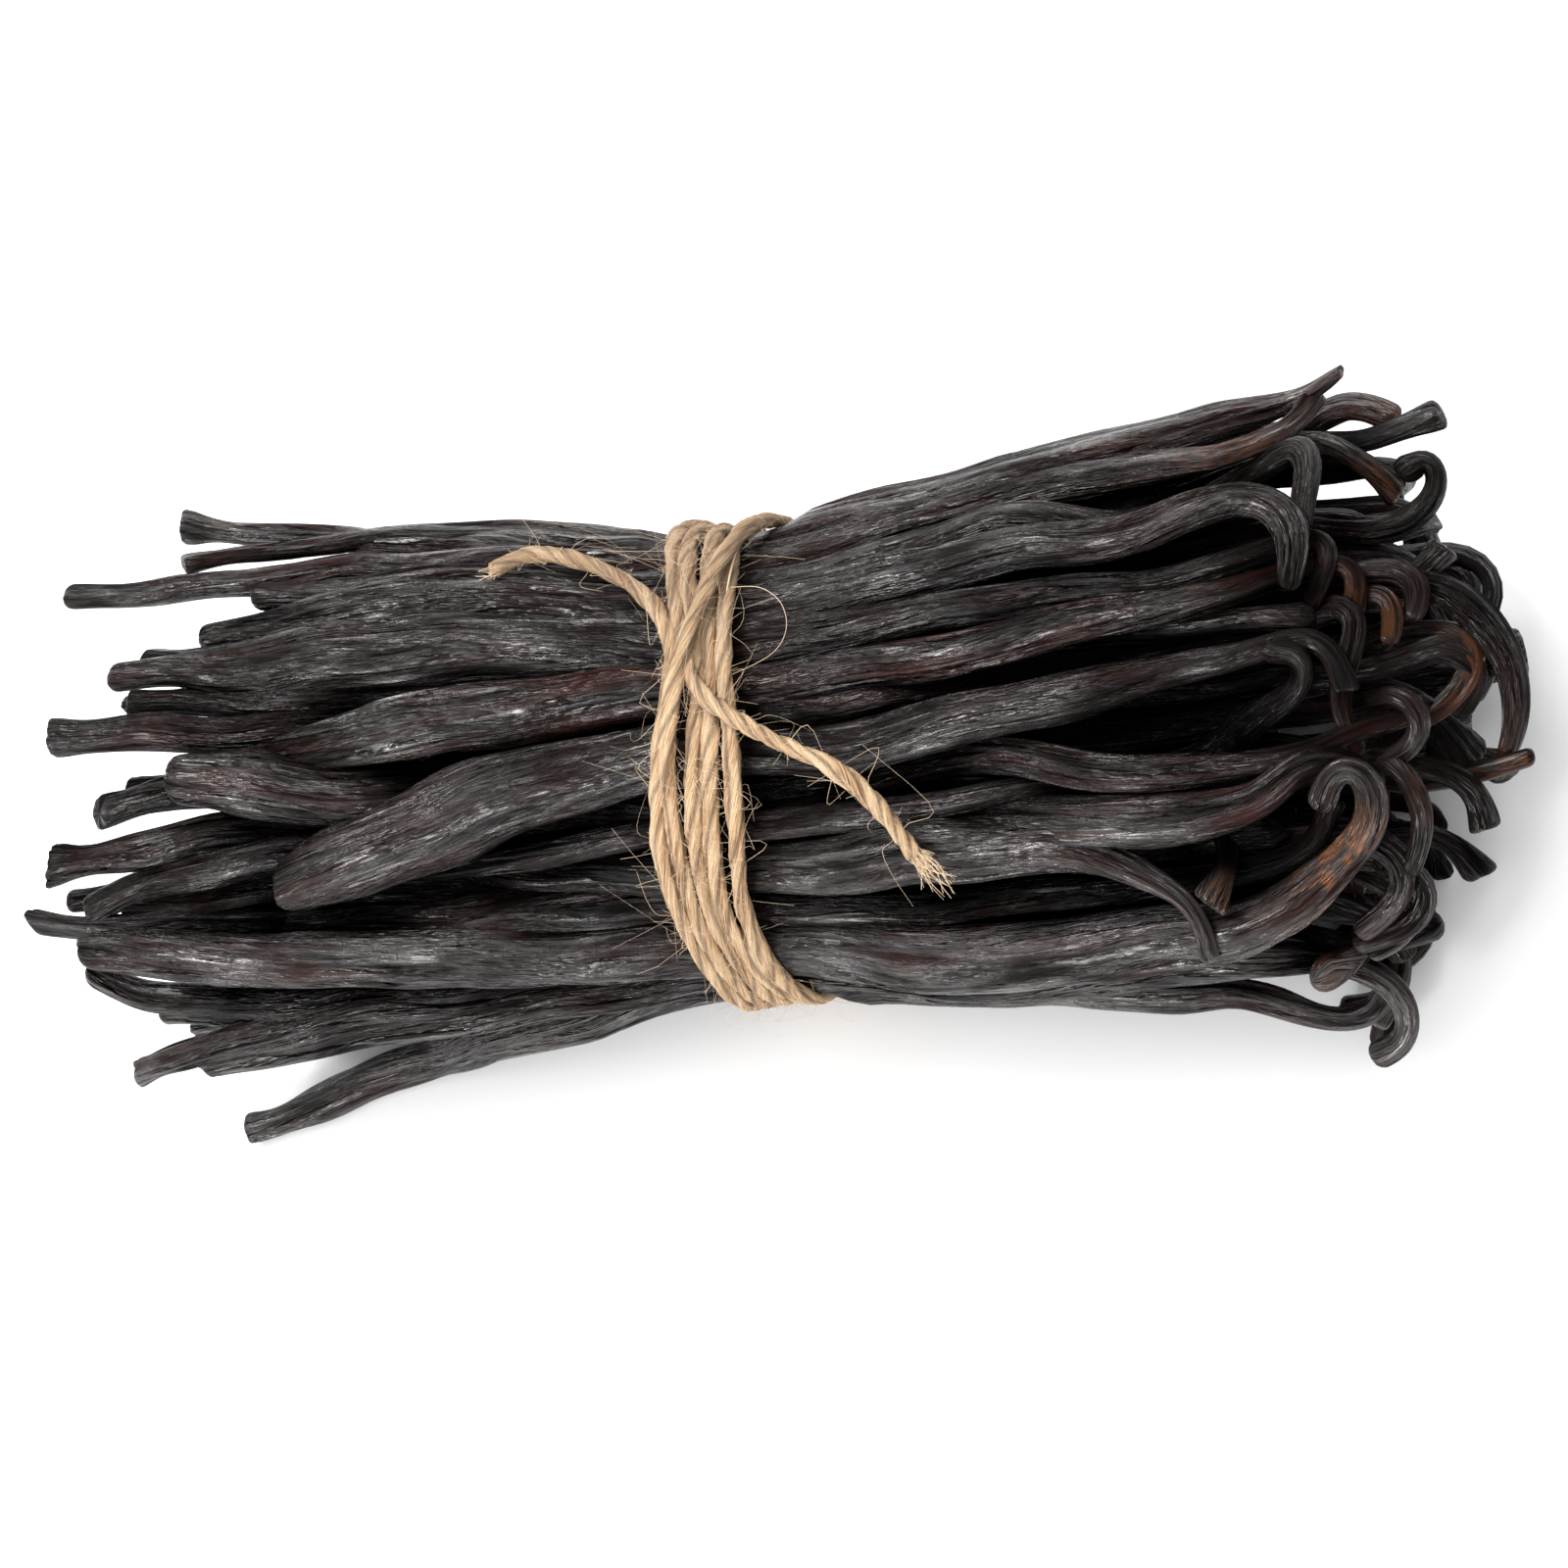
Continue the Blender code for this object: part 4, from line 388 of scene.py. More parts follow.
# The twine: each strand's place along the bundle at each angle round the section,
# where 0 is the back edge, 90 the top and 180 the front edge.
TWINE_DIAMETER = 2.2
TWINE_OVER = 0.9
TWINE_FLOOR = 1.3
TURN_ANGLES = (3, 28, 46, 58, 70, 82, 104, 125, 150, 177, 240, 300, 340)
TURNS = (
    (None, None, None, -4.8, -5.0, -6.3, -7.8, -7.6, -6.1, -5.9, -6.1, -6.4, -6.7),
    (-6.8, -5.4, -3.6, -2.2, -1.8, -2.4, -3.7, -4.1, -2.4, -1.8, -2.4, -3.4, -4.0),
    (-4.2, -2.6, -1.4, -0.9, -0.4, -0.6, -1.7, -2.7, -0.8, 0.2, -0.4, -1.0, -1.4),
    (-1.6, -0.2, 0.8, 0.9, 1.2, 1.9, 1.3, -0.4, 0.6, 2.2, 2.4, 2.5, 2.6),
    (2.6, 0.9, -0.8, -2.4, -3.8, -5.0, -5.9, -5.8, -4.4, -3.8, -4.0, -4.6, -8.2),
    (-8.9, -7.0, -5.2, -4.0, None, None, None, None, None, None, None, None, None),
)
TURN_STEP = 12.0
CROSSING_TURN = 4
CROSSING_LIFT = 0.9
# the free ends as (x, across, over the surface)
LEFT_END = ((-7.0, 18.4, 1.7), (-10.5, 21.4, 2.4), (-14.5, 23.6, 3.2), (-18.5, 25.2, 4.0),
            (-22.5, 26.2, 3.8), (-25.4, 26.0, 3.0), (-27.2, 24.6, 2.2))
RIGHT_END = ((-2.4, 9.9, 2.6), (0.0, 7.2, 3.0), (3.4, 4.8, 2.6), (7.4, 2.2, 2.0), (11.4, 0.3, 1.7),
             (15.0, -1.9, 1.6), (18.0, -5.0, 1.5), (20.2, -8.4, 1.4), (21.8, -11.4, 1.3))

LOOPED_HAIR = ((0.8, 19.7, 1.5), (5.6, 19.4, 3.5), (9.0, 17.4, 4.5), (10.3, 14.3, 4.5),
               (8.7, 11.8, 3.5), (4.2, 10.4, 1.6), (1.4, 9.8, 0.6))
FLAT_FIBRE = ((-0.6, 25.8, 1.6), (0.8, 24.1, 2.9), (1.1, 22.4, 3.1), (1.2, 20.7, 2.8),
              (0.9, 19.0, 1.8))
# the two that are drawn one by one: name, points and half thickness
SINGLE_FIBRES = (("twine_looped_hair", LOOPED_HAIR, 0.05), ("twine_flat_fibre", FLAT_FIBRE, 0.28))
HAIRS = 1300
# the furthest a hair stands off the bundle's surface
FUZZ_REACH = 6.0
# each frayed end: its name, its point on the line, which way, how many fibres, reach, spread
FRAYS = (("twine_fray_left", 0, -1, 46, 3.2, 0.22), ("twine_fray_right", -1, 1, 110, 6.8, 0.24))

# The grids the pods are drawn on, as points along and points round, their grooves, and
# how many pods are joined in a piece.
OUTER_GRID = (118, 60)
INNER_GRID = (68, 20)
OUTER_WRINKLES = 22
INNER_WRINKLES = 9
PODS_A_PIECE = 8
INNER_A_PIECE = 30
CROWDING_ROUND = 0.45

# Where the twine holds the pods in: stations, the share of the ellipse that pods may
# fill there, a large one leaving them free, and what is kept of all that stands past it.
HELD_X = (-32, -26, -10, 4, 20, 26)
HELD_AT = (9.0, 1.18, 1.0, 1.0, 1.18, 9.0)
HELD_KEEPS = 0.12

# How pods differ from plain tubes: broader than deep, leaning, wandering and swelling.
LEAST_BROADER = 1.05
BROADER = 1.26
BROAD_FROM = (1.9, 2.9)
SECTION_POWER = 0.9
SLIM_FROM = 2.1
THICKNESS = (0.5, 0.64)
FACING = 0.8
WEAR_SPREAD = 6.0
STALK_HALF = 1.9
# painted shade in the skin's colour: the depth under the bundle's surface where it starts and over which
# it deepens, the stations where it weakens towards the ends, how much is left there, and its darkest
# share
SHADE_FROM = 0.7
SHADE_OVER = 3.2
SHADE_X = (-80, -64, 58, 74)
SHADE_ENDS = 0.6
DARKEST = 0.92
LEAN_SPREAD = 0.2
TWIST = 0.25
WANDER = 0.4
SWELLING = 0.08
# the section's slow swellings: share of the half width, sides, drift and wave lengths
SWELLINGS = ((0.05, 3, 1.4, (90, 50)), (0.03, 5, 2.2, (80, 34)))
# the grooves: depth, half width, and how far they wander over which wave lengths
SMALLEST_GROOVE = 0.10
GROOVE_RANGE = 0.42
GROOVE_HALF = (0.22, 0.42)
GROOVE_DRIFTS = ((0.30, (75, 40)), (0.05, (14, 8)))
# the dents: how many to a pod, how far round, half length, half width and depth
DENTS = 4
DENT_SIDE = 1.6
DENT_LENGTH = (0.9, 2.2)
DENT_WIDTH = 1.5
DENT_DEPTH = (0.05, 0.26)
# how far apart the pods lie in the noise of their skin, so that none looks like the next
SKIN_APART = 31.7
INNER_ENDS = ("round", "blunt", "flared", "slant")
INNER_TINT = ((0.2, 0.1, 0.0, 0.0), (0.7, 0.4, 0.25, 3.0))
# the core's stations, its insets under the surface there, and its grid
CORE_X = (-50, -44, -34, 34, 48, 56)
CORE_INSET = (22, 15, 11, 11, 15, 22)
CORE_GRID = (40, 40)

# Rings that close an end, outward from the last one: share of the size, and offset in
# half widths.
TIPS = {
    "round": ((0.97, 0.16), (0.87, 0.4), (0.68, 0.6), (0.4, 0.74)),
    "blunt": ((1.0, 0.14), (0.93, 0.3), (0.76, 0.4), (0.42, 0.42)),
    "flared": ((1.02, 0.14), (0.95, 0.32), (0.76, 0.38), (0.42, 0.3)),
    "cut": ((1.0, 0.06), (0.95, 0.13), (0.78, 0.16), (0.44, 0.15)),
    "cup": ((1.03, 0.14), (0.97, 0.34), (0.8, 0.22), (0.45, -0.25)),
    "slant": ((1.0, 0.12), (0.93, 0.26), (0.76, 0.34), (0.43, 0.36)),
}
TIP_FLARE = {"round": 0.05, "blunt": 0.12, "flared": 0.26, "cut": 0.0, "cup": 0.2, "slant": 0.1}
TIP_SLOPE = {"round": 0.1, "blunt": 0.2, "flared": 0.3, "cut": 0.35, "cup": 0.35, "slant": 0.75}
# how far from the end a flare and the neck behind it reach, and an end's slope
FLARE_REACH = 1.8
NECK_AT = 4.6
NECK_REACH = 2.4
NECK_SHARE = 0.4
SLOPE_REACH = 3.5
FLOOR_CLEAR = 0.03

# The twine's plies: pitch, depth, points round, and the step along its route.
PLY_PITCH = 10.5
PLY_POINTS = 27
TWINE_STEP = 0.6
PLY_DEPTH = 0.42
# how far round the fibres go for each mm along, in the free ends and in the turns
PLY_SLOPE = 0.66
PLY_SLOPE_WOUND = 0.30

# The studio: each light's place, size and power, and whether it is seen in the sheen.
WORLD_STRENGTH = 0.45
LIGHTS = (
    ("key", (-0.32, 0.34, 0.68), 0.5, 6.2, True),
    ("front", (-0.25, -0.72, 0.34), 0.40, 3.7, True),
    ("spark_back", (-0.28, 0.36, 0.66), 0.10, 1.3, True),
    ("spark_front", (-0.24, -0.60, 0.48), 0.10, 1.7, True),
    ("overhead", (0.1, -0.1, 1.3), 1.6, 17.0, False),
)
FLOOR_HALF = 2.0

# The camera: its distance, what it looks at as (x, s, t), how far it is swung towards
# the stalk ends as a sine and a cosine, its roll, and its lens.
CAMERA_DISTANCE = 0.497
LOOKED_AT = (0.0, -2.5, 0.0)
SWING = (0.30, 0.954)
ROLL = math.radians(5.5)
LENS = 100.0
SENSOR = 36.0

# Each making's own random seed.
POD_SEED = 7
TWINE_SEED = 3
FUZZ_SEED = 5


# ---- where the pods lie ----

def section_half(x):
    """Half the section's width at x."""
    return np.interp(x, SECTION_X, SECTION_HALF)


def surface_height(x, s):
    """The top of the section's ellipse at x, over the point s across."""
    half = section_half(x)
    return FLATNESS * half * np.sqrt(np.clip(1.0 - (s / half) ** 2, 0.0, 1.0))


def curl(rng):
    """An inner pod's stalk, a straight lead, an arc and a straight end, with its half width."""
    turn = math.radians(rng.uniform(*CURL_TURN))
    radius = rng.uniform(*CURL_RADIUS)
    lead = rng.uniform(*CURL_LEAD)
    out = math.radians(rng.choice(CURL_SIDES) + rng.uniform(-CURL_SPREAD, CURL_SPREAD))
    sweep = np.linspace(0, turn, CURL_KNOTS - 1)
    along = lead + radius * np.sin(sweep)
    side = radius * (1 - np.cos(sweep))
    along = np.append(along, along[-1] + CURL_END * math.cos(turn))
    side = np.append(side, side[-1] + CURL_END * math.sin(turn))
    neck = 1 + CURL_NECK * np.cos(np.linspace(0, math.tau, len(side)))
    half = rng.uniform(*CURL_HALF) * neck
    return np.stack((along, side * math.cos(out), side * math.sin(out), half), 1)


def first_places():
    """Every pod before it settles: s, t, half width and freedom at each station,
    then its first and last x, and its stalk's points with their half widths."""
    rng = np.random.default_rng(SEED)
    half = section_half(STATIONS)
    rows, spans, stalks = [], [], []
    for route, widths, stalk in LAID_PODS.values():
        x, across, depth = np.array(route, float).T
        s = np.interp(STATIONS, x, across)
        t = surface_height(STATIONS, s) - np.interp(STATIONS, x, depth)
        w = np.interp(STATIONS, *np.array(widths, float).T)
        loose = np.where(depth < SHALLOW, *LOOSENESS) * (abs(across) < SIDE_REACH)
        rows.append((s, t, w, np.interp(STATIONS, x, loose)))
        spans.append((x[0], x[-1]))
        stalks.append(np.array(stalk, float))
    for inset, count, start, stop in RINGS:
        step = (stop - start) / count
        for k in range(count):
            angle = math.radians(start + (k + 0.5 + rng.uniform(-RING_JITTER, RING_JITTER)) * step)
            inset_here = inset * half / min(SECTION_HALF)
            turn = angle + np.radians(rng.uniform(-RING_LEAN, RING_LEAN)) * STATIONS / LEAN_OVER
            s = (half - inset_here) * np.cos(turn)
            t = (FLATNESS * half - inset_here) * np.sin(turn)
            size = rng.uniform(*FILLER_HALF)
            left = rng.uniform(*(OUTER_LEFT if inset < OUTER_INSET else INNER_LEFT))
            right = rng.uniform(*FILLER_RIGHT) + INNER_LONGER * inset
            right -= FRONT_SHORTER * max(0.0, -math.cos(angle))
            w = size * np.interp(STATIONS, (left, left + TAPER_LENGTH, TAPER_START, right), FILLER_TAPER)
            rows.append((s, t, w, np.ones(len(STATIONS))))
            spans.append((left, right))
            stalks.append(curl(rng))
    s, t, w, freedom = np.array(rows).transpose(1, 0, 2)
    return s, t, w, freedom, np.array(spans), stalks


def settle(s, t, w, freedom, spans):
    """Pushes overlapping pods apart at each station, keeps the free ones inside the
    ellipse and over the floor, and draws the laid ones back to their routes."""
    home_s, home_t = s.copy(), t.copy()
    near = (spans[:, :1] - STATION_STEP, spans[:, 1:] + STATION_STEP)
    present = (STATIONS >= near[0]) & (STATIONS <= near[1])
    together = 0.5 * present[:, None] * present[None] * (1 - np.eye(len(s)))[:, :, None]
    half_s = section_half(STATIONS) - EDGE_SHARE * w
    half_t = FLATNESS * section_half(STATIONS) - EDGE_SHARE * w
    rest = REST_SHARE * w - FLOOR_PRESS + np.interp(STATIONS, WAIST_X, WAIST_ROOM)
    for _ in range(SETTLING_PASSES):
        ds = s[:, None] - s[None]
        dt = t[:, None] - t[None]
        gap = np.sqrt(ds * ds + dt * dt) + 1e-6
        push = np.clip(CLOSENESS * (w[:, None] + w[None]) - gap, 0, None) * together / gap
        s = s + np.clip((push * ds).sum(1), -LARGEST_MOVE, LARGEST_MOVE) * freedom
        t = t + np.clip((push * dt).sum(1), -LARGEST_MOVE, LARGEST_MOVE) * freedom
        reach = np.sqrt((s / half_s) ** 2 + (t / half_t) ** 2)
        inward = np.where(freedom > max(LOOSENESS), 0.5 + 0.5 / np.maximum(reach, 1), 1)
        s, t = s * inward, t * inward
        height = s * math.sin(LEAN) + t * math.cos(LEAN) + AXIS_HEIGHT
        lift = np.clip(rest - height, 0, None)
        s, t = s + lift * math.sin(LEAN), t + lift * math.cos(LEAN)
        back = PULL_HOME * (1 - freedom)
        s, t = s + (home_s - s) * back, t + (home_t - t) * back
        for line in (s, t):
            middle = 0.5 * (line[:, :-2] + line[:, 2:]) - line[:, 1:-1]
            line[:, 1:-1] += EASING * freedom[:, 1:-1] * middle
    return s, t


def place_pods():
    """Each pod's whole route with its half widths, body first and stalk last."""
    s, t, w, freedom, spans, stalks = first_places()
    s, t = settle(s, t, w, freedom, spans)
    routes = []
    for i, (left, right) in enumerate(spans):
        inside = STATIONS[(STATIONS > left + 1) & (STATIONS < right - 1)]
        x = np.concatenate(([left], inside, [right]))
        body = np.stack((x, np.interp(x, STATIONS, s[i]), np.interp(x, STATIONS, t[i])), 1)
        stalk = stalks[i]
        if i >= len(LAID_PODS):
            stalk[:, :3] += body[-1]
        halves = np.append(np.interp(x, STATIONS, w[i]), stalk[:, 3])
        routes.append((np.concatenate((body, stalk[:, :3])), halves))
    return routes


def distance_along(points):
    """The distance from the first point to each point."""
    return np.append(0.0, np.cumsum(np.linalg.norm(np.diff(points, axis=0), axis=1)))


def read_at(places, run, columns):
    """The columns, known at each distance of the run, read at other places as rows."""
    return np.stack([np.interp(places, run, column) for column in columns], 1)


def smoothed(rows, passes):
    """The rows drawn again and again halfway to the mean of their neighbours, ends kept."""
    for _ in range(passes):
        rows[1:-1] += 0.5 * (0.5 * (rows[:-2] + rows[2:]) - rows[1:-1])
    return rows


def smooth_line(points, step, passes):
    """The line read at even steps and smoothed, ends kept."""
    run = distance_along(points)
    even = np.linspace(0, run[-1], int(run[-1] / step))
    return smoothed(read_at(even, run, points.T), passes)


def even_path(points, values, count):
    """The route re-sampled finely, smoothed, then read at steps shorter near its ends."""
    run = distance_along(points)
    fine = np.linspace(0, run[-1], int(run[-1] / FINE_STEP))
    table = smoothed(read_at(fine, run, (*points.T, values)), SMOOTHING_PASSES)
    run = distance_along(table[:, :3])
    share = np.linspace(0, 1, count)
    even = run[-1] * (share - END_CROWDING * np.sin(math.tau * share))
    table = read_at(even, run, table.T)
    return table[:, :3], table[:, 3]


def turned(points):
    """Directions in (x, s, t) turned to the row frame."""
    x, s, t = points[..., 0], points[..., 1], points[..., 2]
    y = s * math.cos(LEAN) - t * math.sin(LEAN)
    z = s * math.sin(LEAN) + t * math.cos(LEAN)
    return np.stack((x, y, z), -1)


def to_world(points):
    """(x, s, t) turned and shifted to the row frame, still in millimetres."""
    return turned(points) + (CENTRE[0], CENTRE[1], AXIS_HEIGHT)


def from_world(points):
    """Points of the row frame as (x, s, t)."""
    p = points - (CENTRE[0], CENTRE[1], AXIS_HEIGHT)
    s = p[..., 1] * math.cos(LEAN) + p[..., 2] * math.sin(LEAN)
    t = p[..., 2] * math.cos(LEAN) - p[..., 1] * math.sin(LEAN)
    return np.stack((p[..., 0], s, t), -1)


def section_reach(points):
    """The section's half width at points in (x, s, t), and how far out these lie in it,
    hypot(s / half, t / high), which is 1 on its surface."""
    half = section_half(points[..., 0])
    return half, np.hypot(points[..., 1] / half, points[..., 2] / (FLATNESS * half))


def under_surface(points):
    """Each point's x, and how far it lies under the ellipse's surface."""
    p = from_world(points)
    half, reach = section_reach(p)
    return p[..., 0], (1 - reach) * half


def outward(points):
    """The ellipse's outward direction at points in (x, s, t), in the row frame."""
    half = section_half(points[..., 0])
    s = points[..., 1] / half ** 2
    t = points[..., 2] / (FLATNESS * half) ** 2
    return unit(turned(np.stack((0 * s, s, t), -1)))


def unit(vectors):
    """The vectors at length one."""
    return vectors / np.maximum(np.linalg.norm(vectors, axis=-1, keepdims=True), 1e-9)


# ---- where the twine lies ----

def over_surface(angle, x, over):
    """A point over the section's ellipse at x, at an angle in degrees."""
    a = math.radians(angle)
    half = float(section_half(x))
    return (x, (half + over) * math.cos(a), (FLATNESS * half + over) * math.sin(a))


def winding_route():
    """Points of the twine's turns one after another, thirty to a turn."""
    angles, places, lifts = [], [], []
    for turn, row in enumerate(TURNS):
        for angle, place in zip(TURN_ANGLES, row):
            if place is not None:
                crosses = turn == CROSSING_TURN and (20 < angle < 84 or angle > 320)
                angles.append(360.0 * turn + angle)
                places.append(place)
                lifts.append(TWINE_DIAMETER * CROSSING_LIFT if crosses else 0.0)
    run = np.arange(angles[0], angles[-1] + 1, TURN_STEP)
    x = np.interp(run, angles, places)
    over = TWINE_OVER + np.interp(run, angles, lifts)
    route = to_world(np.array([over_surface(a, px, o) for a, px, o in zip(run, x, over)]))
    route[:, 2] = np.maximum(route[:, 2], TWINE_FLOOR)
    return route


def end_route(points):
    """A free end's points in the row frame."""
    return to_world(np.array([(x, s, float(surface_height(x, s)) + over) for x, s, over in points]))


# ---- surfaces ----

def placed(name, data):
    """A new object in the scene."""
    made = bpy.data.objects.new(name, data)
    bpy.context.scene.collection.objects.link(made)
    return made


def ripple(rng, along, lengths):
    """Smooth random variation along each row: the mean of sine waves of about the
    given lengths, each row with its own stretch and phase."""
    total = np.zeros(along.shape)
    for length in lengths:
        stretch = rng.uniform(0.8, 1.25, (len(along), 1))
        phase = rng.uniform(0, math.tau, (len(along), 1))
        total += np.sin(math.tau * along / (length * stretch) + phase)
    return total / len(lengths)


def carried_frames(paths, out):
    """Directions along, up and sideways on each path, (path, station, 3) each.  Up
    starts as the given outward direction a third of the way along and is carried to
    both ends, losing at each station only what points along the path."""
    along = unit(np.gradient(paths, axis=1))
    stations = paths.shape[1]
    start = stations // 3
    up = np.empty_like(paths)
    flat = out - (out * along[:, start]).sum(-1, keepdims=True) * along[:, start]
    up[:, start] = unit(flat)
    for order, step in ((range(start + 1, stations), 1), (range(start - 1, -1, -1), -1)):
        for j in order:
            last = up[:, j - step]
            up[:, j] = unit(last - (last * along[:, j]).sum(-1, keepdims=True) * along[:, j])
    return along, up, np.cross(along, up)


def around(count, crowding):
    """Angles round a section from its under side, closer together at its outer side, 0."""
    even = np.arange(count) * math.tau / count - math.pi
    return even - crowding * np.sin(even)


def wrapped(angle):
    """The angle brought between minus half a turn and half a turn."""
    return (angle + math.pi) % math.tau - math.pi


def wrinkled(rng, run, angle, half, flat, count):
    """How far the skin stands out at (pod, station, angle): a slow three and five
    sided swelling, less grooves that wander along the pod and fade in and out, less
    a few short dents.  A groove is a Gaussian of the distance across it."""
    shape = (len(run), run.shape[1], len(angle))
    reach = np.sqrt(half * half * flat)
    swell = np.zeros(shape)
    for share, sides, drift, lengths in SWELLINGS:
        swell += share * np.sin(sides * angle + drift * ripple(rng, run, lengths)[..., None])
    skin = half[..., None] * swell
    strong = np.clip((half - 0.8) / 1.5, 0.1, 1.0)
    for k in range(count):
        middle = math.tau * k / count + rng.uniform(-0.5, 0.5, (shape[0], 1)) * math.tau / count
        for drift, lengths in GROOVE_DRIFTS:
            middle = middle + drift * ripple(rng, run, lengths)
        deep = SMALLEST_GROOVE + GROOVE_RANGE * rng.uniform(0, 1, (shape[0], 1)) ** 2.5
        deep = deep * strong * np.clip(0.55 + 1.1 * ripple(rng, run, (38, 17)), 0, 1.25)
        wide = rng.uniform(*GROOVE_HALF, (shape[0], 1))
        across = wrapped(angle - middle[..., None]) * (reach / wide)[..., None]
        skin -= deep[..., None] * np.exp(-across * across)
    for _ in range(DENTS):
        place = rng.uniform(0.05, 0.95, (shape[0], 1)) * run[:, -1:]
        side = rng.uniform(-DENT_SIDE, DENT_SIDE, (shape[0], 1, 1))
        near = np.exp(-((run - place) / rng.uniform(*DENT_LENGTH, (shape[0], 1))) ** 2)
        over = np.exp(-(wrapped(angle - side) * reach[..., None] / DENT_WIDTH) ** 2)
        skin -= (rng.uniform(*DENT_DEPTH, (shape[0], 1)) * strong * near)[..., None] * over
    return skin


def flared(half, tips, run):
    """The half widths with each end flared and a neck behind the flare,
    h (1 + f exp(-(d / reach)^2) - share f exp(-((d - neck) / reach)^2))."""
    flare = np.array([[TIP_FLARE[a], TIP_FLARE[b]] for a, b in tips])
    for d, f in ((run, flare[:, :1]), (run[:, -1:] - run, flare[:, 1:])):
        neck = NECK_SHARE * f * np.exp(-((d - NECK_AT) / NECK_REACH) ** 2)
        half = half * (1 + f * np.exp(-(d / FLARE_REACH) ** 2) - neck)
    return half


def powered(values):
    """The values to the section's power, with their signs kept."""
    return np.sign(values) * np.abs(values) ** SECTION_POWER


def pod_rings(rng, paths, halves, out, tips, grid, wrinkles):
    """Every pod's rings, (pod, ring, point, 3), with the distance along and round.
    P(u, v) = C(u) + (h cos v + n d) up + (w sin v + n d) side, where w and h are the
    half width and half height, n the section's own normal and d the wrinkles.  Each
    end is closed by smaller rings whose offsets make a round, cut or hollow tip."""
    along, up, side = carried_frames(paths, out)
    run = np.stack([distance_along(path) for path in paths])
    for way in (up, side):
        paths = paths + (WANDER * ripple(rng, run, (44, 21)))[..., None] * way
    paths[..., 2] = np.maximum(paths[..., 2], 0.8 * halves)
    half = flared(halves * (1 + SWELLING * ripple(rng, run, (60, 27, 12))), tips, run)
    slim = np.clip(SLIM_FROM - halves, 0, 1)
    flat = rng.uniform(*THICKNESS, (len(paths), 1)) + 0.2 * slim + 0.05 * ripple(rng, run, (45, 23))
    twist = rng.normal(0, LEAN_SPREAD, (len(paths), 1)) + TWIST * ripple(rng, run, (150, 70))
    ct, st = np.cos(twist)[..., None], np.sin(twist)[..., None]
    up, side = ct * up + st * side, ct * side - st * up
    angle = around(grid[1], CROWDING_ROUND)
    c, s = powered(np.cos(angle)), powered(np.sin(angle))
    skin = wrinkled(rng, run, angle, half, flat, wrinkles)
    normal = unit(np.stack((np.broadcast_to(c, skin.shape), s * flat[..., None]), -1))
    high = (half * flat)[..., None] * c + normal[..., 0] * skin
    broad = half[..., None] * s + normal[..., 1] * skin
    ends = []
    for end, sign in ((0, -1), (-1, 1)):
        names = [pair[end] for pair in tips]
        shares = np.array([TIPS[name] for name in names])
        slope = np.array([TIP_SLOPE[name] for name in names])
        lean = slope[:, None] * np.cos(angle - rng.uniform(0, math.tau, (len(paths), 1)))
        size = half[:, end, None]
        closing = []
        for share, offset in shares.transpose(1, 2, 0)[..., None]:
            forward = sign * size * (offset + share * lean)
            closing.append((share * high[:, end], share * broad[:, end], forward))
        # the slope runs out along the pod behind the end
        back = (run if end == 0 else run[:, -1:] - run)[..., None]
        runs_out = np.clip(1 - back / SLOPE_REACH, 0, 1)
        ends.append((closing, sign * size[..., None] * lean[:, None] * runs_out))
    forward = ends[0][1] + ends[1][1]
    body = (paths[:, :, None] + high[..., None] * up[:, :, None]
            + broad[..., None] * side[:, :, None] + forward[..., None] * along[:, :, None])
    whole, marks, poles = [body], [run], []
    for (closing, _), end, sign in ((ends[0], 0, -1), (ends[1], -1, 1)):
        made = []
        for high_end, broad_end, forward_end in closing:
            made.append(paths[:, end, None] + high_end[..., None] * up[:, end, None]
                        + broad_end[..., None] * side[:, end, None]
                        + forward_end[..., None] * along[:, end, None])
        last = closing[-1][2].mean(1, keepdims=True)
        poles.append(paths[:, end] + 1.05 * last * along[:, end])
        made = np.stack(made, 1)
        steps = (0.5 * np.arange(1, made.shape[1] + 1))[None] + 0 * run[:, :1]
        if sign < 0:
            whole.insert(0, made[:, ::-1])
            marks.insert(0, -steps[:, ::-1])
        else:
            whole.append(made)
            marks.append(run[:, -1:] + steps)
    rings = np.concatenate(whole, 1)
    rings[..., 2] = np.maximum(rings[..., 2], FLOOR_CLEAR)
    closed = [made.shape[1] for made in whole]
    half = np.pad(half, ((0, 0), (closed[0], closed[2])), mode="edge")
    return rings, np.stack(poles, 1), np.concatenate(marks, 1), angle, half


